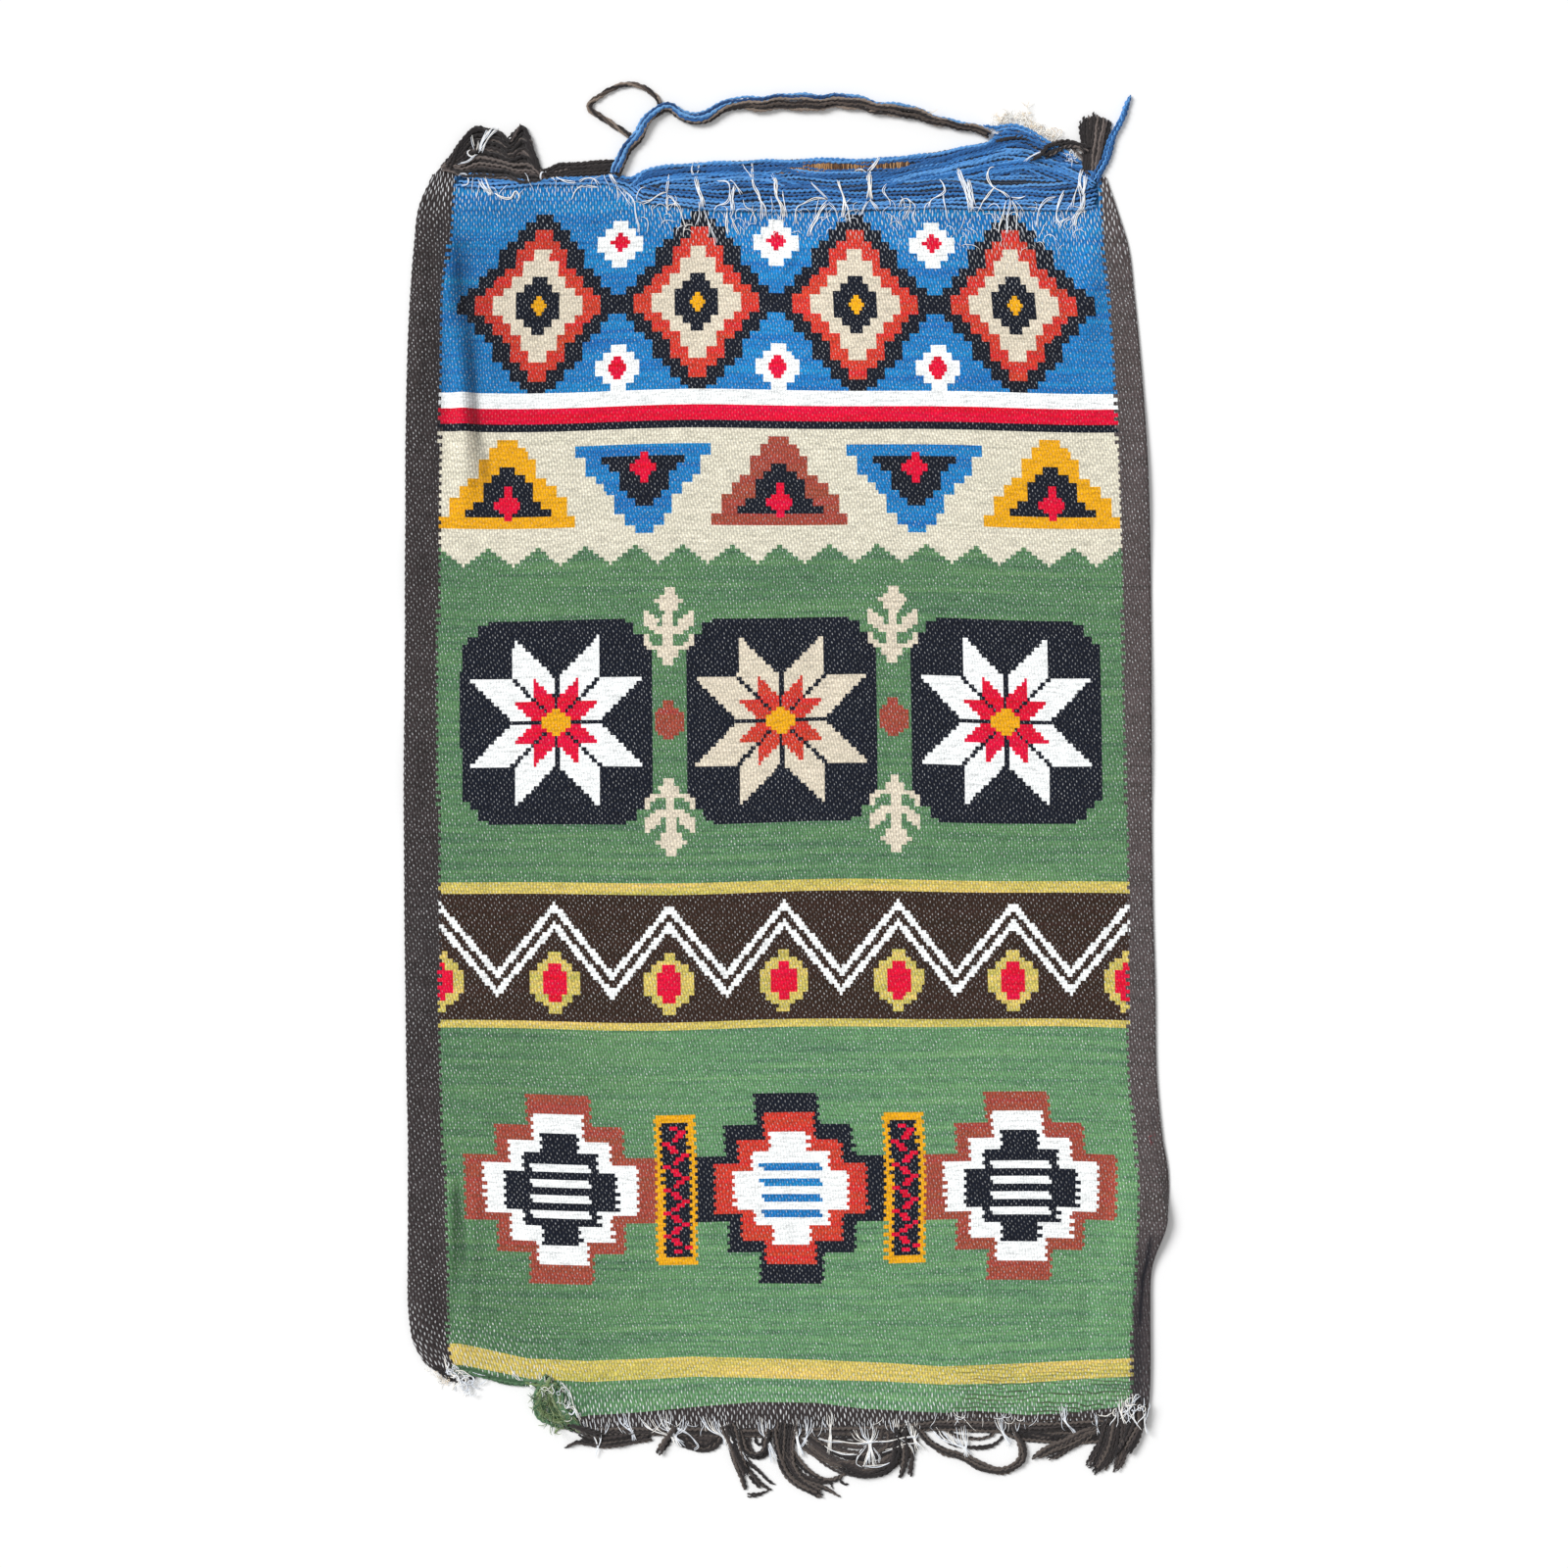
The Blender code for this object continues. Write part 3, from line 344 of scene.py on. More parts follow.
# Frayed white warp ends: how many threads each has, and its route seen from above
Warp = namedtuple("Warp", "threads route")
WARPS = routed(Warp, (
    (4, -234.5, 545.5, -240.5, 540, -246, 532.5, -250, 524.5),
    (4, -239, 547, -243.5, 541, -248, 533.5, -250.5, 525.5),
    (2, -244, 545, -246.5, 538, -249.5, 531, -251, 524.5), (2, -257, 539.5, -256, 534, -254, 528),
    (2, -257, 529, -260, 525.5, -257, 522.5, -252, 524), (2, -250, 536, -252, 530, -253, 526),
    (2, -253, 525, -260, 518, -268, 516), (5, -250, 504, -247, 497, -240, 490),
    (4, -247, 506, -243, 498, -239, 490), (2, -268, 505, -266, 508, -261, 507, -260, 500, -266, 498),
    (2, -240, 494, -232, 489, -225, 488, -221, 494, -218, 490, -219, 486),
    (2, -200, 503, -200, 508, -197, 511, -193, 508, -189, 502),
    (2, -190, 505, -191, 510, -188, 514, -185, 510, -188, 506, -180, 502, -170, 501),
    (2, -170, 501, -164, 504, -157, 504, -153, 499),
    (3, -176, 486, -173, 493, -167, 498, -159, 498, -152, 497), (5, -146, 516, -143, 507, -138, 498),
    (3, -138, 498, -132, 490, -126, 481), (2, -139, 500, -137, 492, -138, 486),
    (2, -135, 498, -125, 486, -122, 470, -120, 458), (3, -96, 508, -97, 499, -98, 492),
    (3, -98, 493, -105, 490, -112, 486, -118, 484), (3, -98, 492, -92, 486, -87, 480, -84, 470, -82, 462),
    (2, -97, 492, -97, 484, -96, 478), (3, -76, 519, -77, 511, -75, 506), (3, -73, 520, -72, 512, -75, 506),
    (7, -75, 506, -72, 497, -69, 486, -68, 479), (3, -71, 486, -71, 476, -74, 466),
    (3, -68, 480, -64, 470, -59, 457, -57, 449),
    (2, -58, 503, -48, 501, -46, 490, -49, 484, -57, 481, -60, 476),
    (6, -42, 499, -44, 490, -44, 479, -46, 473), (3, -45, 473, -42, 465, -38, 457),
    (2, -46, 503, -42, 500, -36, 490), (2, -48, 481, -49, 470, -48, 458), (2, -36, 516, -31, 509, -28, 503),
    (4, -28, 517, -28, 508, -26, 498, -21, 486, -20, 470), (2, -24, 490, -18, 481, -17, 471),
    (5, -12, 508, -9, 502, -8, 490, -4, 481, -3, 470), (2, -4, 494, -1, 481, 0, 471),
    (3, 20, 502, 27, 494, 34, 486), (5, 34, 486, 28, 478, 22, 468, 18, 457),
    (3, 34, 487, 24, 488, 14, 484, 8, 479, 8, 465), (2, 34, 485, 40, 478, 43, 468),
    (4, 42, 505, 44, 497, 47, 485, 46, 473), (2, 47, 486, 51, 476, 52, 468), (3, 56, 510, 61, 512, 66, 509),
    (4, 67, 510, 72, 516, 77, 523), (8, 67, 511, 68, 498, 68, 486), (4, 68, 487, 63, 480, 60, 473),
    (4, 68, 487, 72, 482, 76, 477), (2, 82, 500, 79, 494, 84, 486, 85, 480),
    (3, 92, 478, 94, 486, 99, 487, 101, 480, 95, 470), (3, 100, 486, 105, 481, 103, 473, 107, 465),
    (3, 124, 506, 128, 498, 128, 492, 118, 486, 116, 479), (2, 128, 492, 129, 482, 131, 470),
    (8, 140, 513, 144, 502, 150, 482, 152, 476), (7, 148, 504, 150, 494, 153, 481),
    (3, 171, 514, 166, 513, 164, 506, 168, 498, 177, 492, 182, 488), (3, 182, 488, 190, 488, 196, 490),
    (2, 171, 498, 164, 490, 160, 485, 157, 477), (3, 182, 488, 182, 481, 180, 470, 180, 458),
    (3, 184, 486, 188, 476, 187, 462), (2, 179, 486, 176, 473, 172, 458),
    (4, 204, 465, 206, 478, 212, 486, 220, 488), (4, 226, 494, 223, 486, 220, 473, 224, 465),
    (5, 241, 513, 239, 502, 241, 490), (5, 244, 508, 243, 498, 241, 489),
    (8, 242, 492, 241, 482, 236, 473, 234, 466), (2, 238, 500, 234, 486, 232, 478),
    (6, 230, 533, 233, 527, 230, 520), (3, 224, 531, 227, 526, 231, 522),
    (2, 211, 527, 204, 524.5, 198, 522, 194, 518), (2, 240, 557, 241, 554, 244, 549),
    (2, 26, -524, 46, -527, 66, -527, 88, -525, 108, -521), (2, 31, -530, 44, -536, 58, -536),
    (2, 78, -535, 92, -530, 107, -527), (2, 62, -546, 77, -546, 90, -541),
    (2, -102, -508, -90, -514, -78, -522, -72, -530, -78, -533),
    (2, 66, -529, 60, -536, 57, -544, 62, -547), (2, 70, -530, 76, -538, 74, -546),
    (2, 93, -524, 101, -530, 104, -538),
))
GREEN_WARPS = routed(Warp, (
    (2, -183, -478, -177, -487, -173, -498, -170, -505, -167, -510),
    (2, -185, -480, -180, -490, -182, -498, -175, -498, -171, -502, -168, -513, -170, -517),
    (2, -184, -502, -179, -502, -175, -504, -172, -499), (2, -172, -513, -171, -518, -168, -517),
    (4, -195, -478, -199, -486, -203, -492, -201, -494), (2, -207, -476, -209, -480, -207, -485),
    (2, -257, -469, -246, -472, -235, -474),
    (2, -226, -462, -223, -470, -217, -477, -208, -480, -203, -485),
    (2, -274, -461, -268, -468, -259, -474, -261, -481, -268, -480),
    (2, -262, -462, -259, -470, -263, -478, -258, -485), (2, -196, -508, -192, -508, -193, -515),
))

# Warp ends that draw together below the weave, from a width at the top, down to a knot and on to a tip
Gather = namedtuple("Gather", "left right top knot_x knot_y tip_x tip_y threads")
GATHERS = [Gather(*row) for row in (
    (-168, -159, -502, -157, -522, -153, -535, 3), (-159, -149, -502, -152, -526, -156, -537, 3),
    (-140, -128, -502, -126, -518, -124, -526, 5), (-108, -93, -498, -93, -519, -88, -530, 7),
    (-87, -79, -502, -90, -522, -84, -529, 4), (-72, -58, -497, -52, -522, -48, -532, 8),
    (-58, -48, -498, -44, -527, -36, -537, 7), (-24, -13, -497, -16, -524, -9, -542, 8),
    (3, 12, -497, 9, -524, 12, -538, 6), (14, 24, -500, 17, -522, 13, -530, 4),
    (32, 40, -497, 36, -516, 35, -535, 5), (51, 67, -502, 68, -529, 65, -545, 7),
    (70, 76, -503, 69, -529, 72, -546, 4), (83, 92, -502, 91, -522, 96, -535, 5),
    (99, 110, -502, 105, -526, 107, -534, 5), (128, 142, -503, 145, -532, 147, -538, 6),
    (142, 148, -498, 147, -529, 144, -537, 6), (169, 179, -506, 177, -519, 182, -529, 6),
    (185, 192, -510, 188, -518, 185, -522, 2), (222, 228, -495, 228, -510, 236, -519, 5),
    (248, 254, -506, 253, -514, 255, -521, 3), (268, 276, -492, 273, -503, 276, -511, 4),
    (276, 286, -489, 280, -498, 273, -505, 4), (289, 296, -498, 292, -510, 294, -519, 3),
    (272, 280, -497, 283, -507, 288, -516, 4), (-276, -268, -466, -271, -478, -272, -486, 4),
    (-269, -261, -470, -266, -479, -263, -487, 4), (-205, -199, -470, -200, -482, -197, -489, 3),
    (-122, -108, -500, -95, -522, -91, -528, 5), (-48, -38, -500, -40, -530, -33, -541, 5),
    (96, 104, -500, 106, -526, 112, -532, 4), (116, 128, -502, 144, -531, 149, -537, 5),
)]


def linear(*display):
    """A colour given as 8-bit display values, in linear light."""
    return tuple(((c / 255 + 0.055) / 1.055) ** 2.4 if c > 10 else c / 255 / 12.92 for c in display)


def in_linear_light(*colours):
    return tuple(linear(*colour) for colour in colours)


# Dyes, and how strongly each one's fleece is streaked
Dye = namedtuple("Dye", "colour heather")
DYES = {
    name: Dye(linear(*colour), heather)
    for name, *colour, heather in (
        ("blue", 34, 130, 216, 0.5),
        ("black", 22, 27, 42, 0.25),
        ("brown", 62, 45, 34, 0.5),
        ("border", 66, 59, 59, 0.65),
        ("right_border", 96, 87, 86, 0.7),
        ("green", 98, 144, 106, 1.0),
        ("beige", 253, 247, 224, 0.22),
        ("white", 252, 255, 255, 0.08),
        ("cream", 248, 236, 212, 0.2),
        ("red", 238, 8, 46, 0.15),
        ("orange_red", 236, 78, 50, 0.25),
        ("terracotta", 184, 92, 66, 0.4),
        ("golden", 253, 184, 22, 0.16),
        ("mustard", 238, 225, 112, 0.85),
    )
}
DYE_NAMES = tuple(DYES)
BLUE_YARNS = in_linear_light((50, 114, 180), (68, 134, 200), (40, 94, 154), (88, 150, 212))
BROWN_YARNS = in_linear_light((82, 73, 71), (48, 43, 43), (106, 96, 92), (38, 34, 35))
DARK_YARNS = in_linear_light((64, 57, 56), (46, 41, 41), (88, 79, 74), (36, 32, 33))
# Dark copies of the brown and blue yarns, for the layers underneath: their darkness is painted shade in the
# gaps between the yarns on top
SHADED_BROWN_YARNS = in_linear_light((28, 23, 23), (38, 32, 30))
SHADED_BLUE_YARNS = in_linear_light((16, 34, 56), (24, 50, 82))
BUNDLE_BLUES = in_linear_light((98, 152, 206), (28, 66, 116), (64, 124, 188), (42, 94, 154))
BUNDLE_BROWNS = in_linear_light((42, 36, 36), (132, 117, 106), (82, 71, 65), (56, 48, 45))
OCHRE_YARNS = in_linear_light((172, 128, 82), (112, 78, 50), (190, 148, 100), (84, 60, 44))
GREEN_YARNS = in_linear_light((84, 120, 86), (60, 94, 64), (112, 134, 88), (136, 152, 112))
WHITE_YARNS = in_linear_light((248, 251, 255), (230, 236, 245), (252, 249, 243))
RED_FIBRES = in_linear_light((176, 52, 66), (140, 60, 70))
CREAM_FIBRES = in_linear_light((254, 250, 242), (255, 254, 250), (255, 252, 246), (246, 230, 206))

# Tangles of fine fibres: how far they stray from their route, how many they are, their colours and radius,
# the most steps that one has, how high they rise, how tightly they curl, and their route
Tangle = namedtuple("Tangle", "half_width count colours radius steps rise curl route")
GREEN_TANGLES = routed(Tangle, (
    (5, 90, GREEN_YARNS, 0.32, 16, 5, 0.14, -197, -482, -201, -492, -195, -504, -184, -510, -176, -507),
))
TANGLES = routed(Tangle, (
    (4.4, 190, CREAM_FIBRES, 0.33, 12, 4, 0.4, 171, 548, 177, 553, 185, 554.5, 193, 553, 201, 547,
     210, 542, 220, 537),
    (5, 16, OCHRE_YARNS, 0.22, 9, 4.5, 0.14, 173, 550, 185, 557, 201, 552, 220, 538),
    (2.6, 12, CREAM_FIBRES, 0.3, 9, 7, 0.14, 95, 565, 108, 561, 124, 555),
    (6, 26, WHITE_YARNS, 0.34, 14, 6, 0.3, -201, -480, -192, -484, -182, -492, -174, -504),
    (1.6, 16, CREAM_FIBRES, 0.3, 9, 5, 0.14, 194, 555, 196.5, 563.5),
    (3, 44, WHITE_YARNS, 0.4, 10, 3, 0.3, 230, 528, 234, 519),
    (5, 42, WHITE_YARNS, 0.5, 18, 7, 0.15, -274, -468, -268, -476, -261, -481, -257, -477),
    (5, 20, WHITE_YARNS, 0.42, 16, 3, 0.12, 268, -504, 278, -497, 288, -494, 293, -503),
    (3, 30, CREAM_FIBRES, 0.3, 10, 2.5, 0.3, -292, -465, -284, -473, -278, -478),
    (1.5, 5, RED_FIBRES, 0.3, 9, 2.4, 0.14, 295, -278, 302, -281),
))


def smooth_at(table, column, at):
    """The values of a table's column at an array of keys, on a smooth curve. The first field is the key."""
    rows = sorted(table)
    keys = np.array([row[0] for row in rows], float)
    values = np.array([getattr(row, column) for row in rows], float)
    slopes = np.gradient(values, keys)
    at = np.clip(at, keys[0], keys[-1])
    i = np.clip(np.searchsorted(keys, at, side="right") - 1, 0, len(keys) - 2)
    span = keys[i + 1] - keys[i]
    s = (at - keys[i]) / span
    return (
        (2 * s**3 - 3 * s**2 + 1) * values[i]
        + (s**3 - 2 * s**2 + s) * span * slopes[i]
        + (3 * s**2 - 2 * s**3) * values[i + 1]
        + (s**3 - s**2) * span * slopes[i + 1]
    )


def straight_at(table, at):
    """The y of a table of (x, y) places at x, on straight runs between them."""
    return np.interp(at, *zip(*table))


def smooth_step(s):
    s = np.clip(s, 0.0, 1.0)
    return s * s * (3 - 2 * s)


def unheld_relief(x, y):
    """How high the ridges would lift the cloth, with grooves that could pass below the surface."""
    total = np.full(np.broadcast(x, y).shape, -RIDGE_FOOT)
    for ridge in RIDGES + CREASES:
        heading = math.radians(ridge.heading_deg)
        dx, dy = x - ridge.x, y - ridge.y
        along = dx * math.sin(heading) + dy * math.cos(heading)
        across = dx * math.cos(heading) - dy * math.sin(heading)
        total += ridge.height * np.exp(-((along / ridge.along) ** 2) - (across / ridge.across) ** 2)
    return total


def relief(x, y):
    """How high the ridges lift the cloth above the surface."""
    return np.maximum(0.0, unheld_relief(x, y))


def painted_crease_shade(x, y):
    """How much painted shade darkens the cloth along its creases, from 0 to 1."""
    total = np.zeros(np.shape(x))
    for crease in SHADED_CREASES:
        xs, heights = zip(*reversed(crease.route))
        away = (x - np.interp(y, heights, xs)) / crease.half_width
        ends = smooth_step((heights[-1] - y) / CREASE_SHADE_FADE) * smooth_step((y - heights[0]) / CREASE_SHADE_FADE)
        total = np.maximum(total, crease.strength * ends * np.exp(-(away**2)))
    return total


def painted_patch_light_and_shade(x, y):
    """The share of brightness that painted shade takes from the cloth in darker patches, less what painted
    light adds in paler ones.
    """
    return sum(
        patch.depth * np.exp(-(((x - patch.x) / patch.reach_x) ** 2) - ((y - patch.y) / patch.reach_y) ** 2)
        for patch in LIGHT_AND_SHADE_PATCHES
    )


def cloth_columns():
    """The columns between cells: each one's zone, and its place in the zone from 0 to 1."""
    steps = [(zone, (k + 1) / cells) for zone, cells in CELL_COUNTS.items() for k in range(cells)]
    return [("left", 0.0), *steps]


def cloth_surface(zone, place, y):
    """One column of the middle surface at heights y: x, z, and its distance from the flat field's middle."""
    left, left_seam, right_seam, right, turn_deg = (smooth_at(EDGES, name, y) for name in Edge._fields[1:])
    turn = np.clip(np.radians(turn_deg), 0.0, math.pi)
    shown = right - right_seam
    turned = np.minimum(TURNED_LENGTH, TURNED_SHARE * shown)
    straight = turned - BEND_RADIUS * turn
    reach = np.where(turn > math.pi / 2, BEND_RADIUS, BEND_RADIUS * np.sin(turn) + straight * np.cos(turn))
    flat = shown - reach
    lift = BEND_RADIUS * (1 - np.cos(turn)) + straight * np.sin(turn)
    bend_length = np.minimum(BEND_RADIUS * math.pi, 0.5 * turned)
    raised, in_flap = np.zeros_like(y), np.zeros_like(y, bool)
    if zone == "left":
        x = left + (left_seam - left) * place
        flat_x = np.full_like(y, -FIELD_HALF - BORDER_WIDTH * (1 - place))
    elif zone == "field":
        x = left_seam + (right_seam - left_seam) * place
        raised = lift * smooth_step(1 - (right_seam - x) / RISE_WIDTH)
        flat_x = np.full_like(y, FIELD_HALF * (2 * place - 1))
    elif zone == "flat":
        x = right_seam + flat * place
        raised = lift
        flat_x = FIELD_HALF + flat * place
    else:
        s = bend_length * place if zone == "bend" else bend_length + (turned - bend_length) * place
        angle = np.minimum(s / BEND_RADIUS, turn)
        beyond = s - BEND_RADIUS * angle
        x = right_seam + flat + BEND_RADIUS * np.sin(angle) + beyond * np.cos(angle)
        raised = lift - BEND_RADIUS * (1 - np.cos(angle)) - beyond * np.sin(angle)
        in_flap = (lift > BEND_RADIUS) & (raised < lift / 2)
        flat_x = FIELD_HALF + flat + s
    folded = raised > FOLD_LIFT
    pressed = np.maximum(unheld_relief(x, y), np.where(folded, -GROOVE_DEPTH, 0.0))
    pressed = np.where(in_flap, 0.0, pressed + np.where(folded, FOLD_PUFF, 0))
    return x, CLOTH_THICKNESS / 2 + np.maximum(raised, 0.0) + pressed, flat_x


def row_heights(flat_x, row_y):
    """The heights of one column's rows: they bow a little, and near the bottom end follow its stripes."""
    bow = 1.6 * np.sin(flat_x / 83 + 0.7 + row_y / 310) + 0.8 * np.sin(flat_x / 37 - row_y / 130)
    stripes = [straight_at(table, flat_x[0]) for table in (MUSTARD_TOP, MUSTARD_BOTTOM, GREEN_BOTTOM)]
    shifts = [0, *(at - row for at, row in zip(stripes, STRIPE_ROWS))]
    shift = np.interp(-row_y, [-BOW_END, *(-row for row in STRIPE_ROWS)], shifts)
    return row_y + shift + bow * smooth_step((row_y - STRIPE_ROWS[0]) / (BOW_END - STRIPE_ROWS[0]))


def triangle_wave(x, period):
    """0 at whole periods and 1 halfway between."""
    return 1 - np.abs(2 * (x / period - np.floor(x / period)) - 1)


def stepped_diamond(x, y, half_width, half_height, step):
    across, up = (np.floor(np.abs(d) / step) * step for d in (x, y))
    return across / half_width + up / half_height < 1


def stepped_cross(x, y, reach):
    wide, high = np.abs(x) / reach, np.abs(y) / reach
    return ((wide < 1) & (high < 1 / 3)) | ((wide < 1 / 3) & (high < 1)) | ((wide < 2 / 3) & (high < 2 / 3))


def eight_star(x, y, reach, parting):
    """A star of eight rhombs that meet in the middle, parted from each other by narrow lines."""
    wide, high = np.abs(x), np.abs(y)
    more, less = np.maximum(wide, high), np.minimum(wide, high)
    rhombs = (less < reach / 2) & (more < less + reach / 2)
    return rhombs & (less >= parting) & (more - less >= parting)


def box(x, y, half_width, half_height):
    return (np.abs(x) < half_width) & (np.abs(y) < half_height)


SPRIG = (
    "....##....",
    "...####...",
    "..######..",
    "...####...",
    "#...##...#",
    "##..##..##",
    "###.##.###",
    ".########.",
    "..######..",
    "#...##...#",
    "##..##..##",
    ".########.",
    "...####...",
    "....##....",
    "....##....",
)


def charted(x, y, chart, unit):
    """Whether a place is on a charted motif with its middle at 0, 0 and square stitches of a unit."""
    filled = np.array([[mark == "#" for mark in line] for line in chart])
    high, wide = filled.shape
    rows, columns = np.floor(high / 2 - y / unit).astype(int), np.floor(x / unit + wide / 2).astype(int)
    inside = (columns >= 0) & (columns < wide) & (rows >= 0) & (rows < high)
    return inside & filled[np.clip(rows, 0, high - 1), np.clip(columns, 0, wide - 1)]


def design(flat_x, v, row):
    """The dye of each stitch, by its place on the flat cloth, across and up, and its row's number."""
    dye = np.full(flat_x.shape, DYE_NAMES.index("green"))

    def paint(where, name):
        dye[where] = DYE_NAMES.index(name)

    def stripes(*rows):
        for low, high, name in rows:
            paint((v > low) & (v < high), name)

    def diamonds(dx, dy, *rows):
        for half_width, half_height, step, name in rows:
            paint(stepped_diamond(dx, dy, half_width, half_height, step), name)

    def crosses(dx, dy, *rows):
        for reach, name in rows:
            paint(stepped_cross(dx, dy, reach), name)

    x = flat_x + 0.8 * np.sin(v / 47)

    # The blue band, with a row of stepped diamonds and small crosses between them
    paint(v > 318, "blue")
    for middle in (-201, -67, 67, 201):
        dx, dy = x - middle, v - 402
        diamonds(dx, dy, (62, 74, 7.5, "black"), (46, 56, 7.5, "orange_red"), (33, 41, 7.5, "cream"),
                 (18, 24, 6, "black"))
        crosses(dx, dy, (6.5, "golden"))
    for middle in (-134, 0, 134):
        for height in (452, 350):
            crosses(x - middle, v - height, (19, "white"), (8, "red"))
    stripes((318, 330, "white"), (306, 318, "red"), (299, 306, "black"))

    # The beige band, with stepped pyramids that point up and down by turns, and a toothed lower edge
    paint((v < 299) & (v > 190 + 15 * triangle_wave(x + 20, 40.1)), "beige")
    for k, name in zip(range(-2, 3), ("golden", "blue", "terracotta", "blue", "golden")):
        dx, dy = x - 112.4 * k, (v - 254) * (1 if k % 2 == 0 else -1)
        paint((dy > -32) & stepped_diamond(dx, dy + 32, 52, 70, 8), name)
        paint((dy > -24) & stepped_diamond(dx, dy + 24, 29, 42, 7), "black")
        diamonds(dx, dy + 14, (9, 11, 3.5, "red"))

    # The green field, with large stars and sprigs between them
    for middle in (-184, 0, 184):
        dx, dy = x - middle, v - 62
        paint(box(dx, dy, 78, 84) & stepped_diamond(dx, dy, 130, 136, 8), "black")
        paint(eight_star(dx, dy, 70, 2.2), "white" if middle else "cream")
        paint(eight_star(dx, dy, 36, 1.5), "red" if middle else "orange_red")
        diamonds(dx, dy, (11, 12, 4, "golden"))
    for middle in (-92, 92):
        paint(charted(x - middle, v - 138, SPRIG, 4.2), "cream")
        paint(charted(x - middle, -(v + 14), SPRIG, 4.2), "cream")
        diamonds(x - middle, v - 62, (12, 16, 4, "terracotta"))

    # The brown band, with a double zigzag and a diamond in each bay
    stripes((-190, -70, "brown"))
    zigzag = -160 + 56 * triangle_wave(x + 0.5 * 93.6, 93.6)
    for offset in (0, 15):
        paint(np.abs(v - zigzag - offset) < 3.6, "white")
    for k in range(-3, 4):
        diamonds(x - 93.6 * k, v + 151, (20, 22, 5, "mustard"), (10, 12, 5, "red"))
    stripes((-77, -70, "mustard"), (-190, -183, "mustard"))

    # The lower green field, with stepped crosses and bars. Every other row reaches a stitch further where a
    # join is upright, so that the rows interlock.
    x = x + 1.2 * np.where(row % 2 == 0, 1.0, -1.0)
    for middle, *names, bar in (
        (-187, "terracotta", "white", "black", "white"),
        (0, "black", "orange_red", "white", "blue"),
        (187, "terracotta", "white", "black", "white"),
    ):
        dx, dy = x - middle, v + 320
        crosses(dx, dy, *zip((78, 62, 46), names))
        paint(box(dx, dy, 24, 25) & (row // 2 % 2 == 0), bar)
    for middle in (-93, 93):
        dx, dy = x - middle, v + 320
        paint(box(dx, dy, 16, 62), "golden")
        paint(box(dx, dy, 11, 56), "black")
        paint(box(dx - 7 * (2 * triangle_wave(dy, 18.7) - 1), dy, 3.2, 53), "red")

    # The stripes at the bottom end, and the corner where they meet the border
    for height, name in zip(STRIPE_ROWS, ("mustard", "green", "border")):
        paint(v < height, name)
    paint((x - 262) / 20 - (v + 490) / 16 > 1, "border")
    paint(x < -FIELD_HALF, "border")
    paint(x > FIELD_HALF, "right_border")
    return dye


class Nodes:
    """The shader nodes of a new material."""

    def __init__(self, name, roughness, sheen):
        self.material = bpy.data.materials.new(name)
        self.material.use_nodes = True
        self.tree = self.material.node_tree
        self.shader = self.tree.nodes["Principled BSDF"]
        self.fill(self.shader, {"Roughness": roughness, "Specular IOR Level": 0.15})
        self.fill(self.shader, {"Sheen Weight": sheen, "Sheen Roughness": 0.6})

    def fill(self, node, inputs):
        """Sets or links a node's inputs, by name or number."""
        for key, value in dict(inputs).items():
            if isinstance(value, bpy.types.NodeSocket):
                self.tree.links.new(value, node.inputs[key])
            else:
                node.inputs[key].default_value = value

    def add(self, kind, inputs=(), **settings):
        """The outputs of a new node."""
        made = self.tree.nodes.new(kind)
        for name, value in settings.items():
            setattr(made, name, value)
        self.fill(made, inputs)
        return made.outputs

    def maths(self, operation, *values, clamp=False):
        return self.add("ShaderNodeMath", enumerate(values), operation=operation, use_clamp=clamp)[0]

    def plus(self, first, second):
        return self.maths("ADD", first, second)

    def minus(self, first, second):
        return self.maths("SUBTRACT", first, second)

    def times(self, first, *others, clamp=False):
        for other in others:
            first = self.maths("MULTIPLY", first, other, clamp=clamp)
        return first

    def scaled(self, value, factor, start):
        """value * factor + start"""
        return self.maths("MULTIPLY_ADD", value, factor, start)

    def wave(self, operation, value, turns):
        """The sine or cosine of a value that makes so many turns over each unit."""
        return self.maths(operation, self.times(value, turns * 2 * math.pi))

    def mix(self, share, first, second):
        return self.add("ShaderNodeMix", {0: share, 6: first, 7: second}, data_type="RGBA")[2]

    def split(self, vector):
        return self.add("ShaderNodeSeparateXYZ", {0: vector})

    def place(self):
        return self.add("ShaderNodeTexCoord")["Object"]

    def attribute(self, name, output="Fac"):
        return self.add("ShaderNodeAttribute", attribute_name=name)[output]

    def noise(self, vector, scale, detail=2.0, roughness=0.55):
        inputs = {"Vector": vector, "Scale": scale, "Detail": detail, "Roughness": roughness}
        return self.add("ShaderNodeTexNoise", inputs)[0]

    def stretched(self, vector, across, up):
        return self.add("ShaderNodeMapping", {"Vector": vector, "Scale": (across, up, 1.0)})[0]

    def remap(self, value, low, high, to_low, to_high):
        inputs = {"Value": value, "From Min": low, "From Max": high, "To Min": to_low, "To Max": to_high}
        return self.add("ShaderNodeMapRange", inputs)[0]

    def finish(self, colour, strength, distance, height):
        """The material, with its colour and its bumps."""
        bump = self.add("ShaderNodeBump", {"Strength": strength, "Distance": distance, "Height": height})[0]
        self.fill(self.shader, {"Base Color": colour, "Normal": bump})
        return self.material


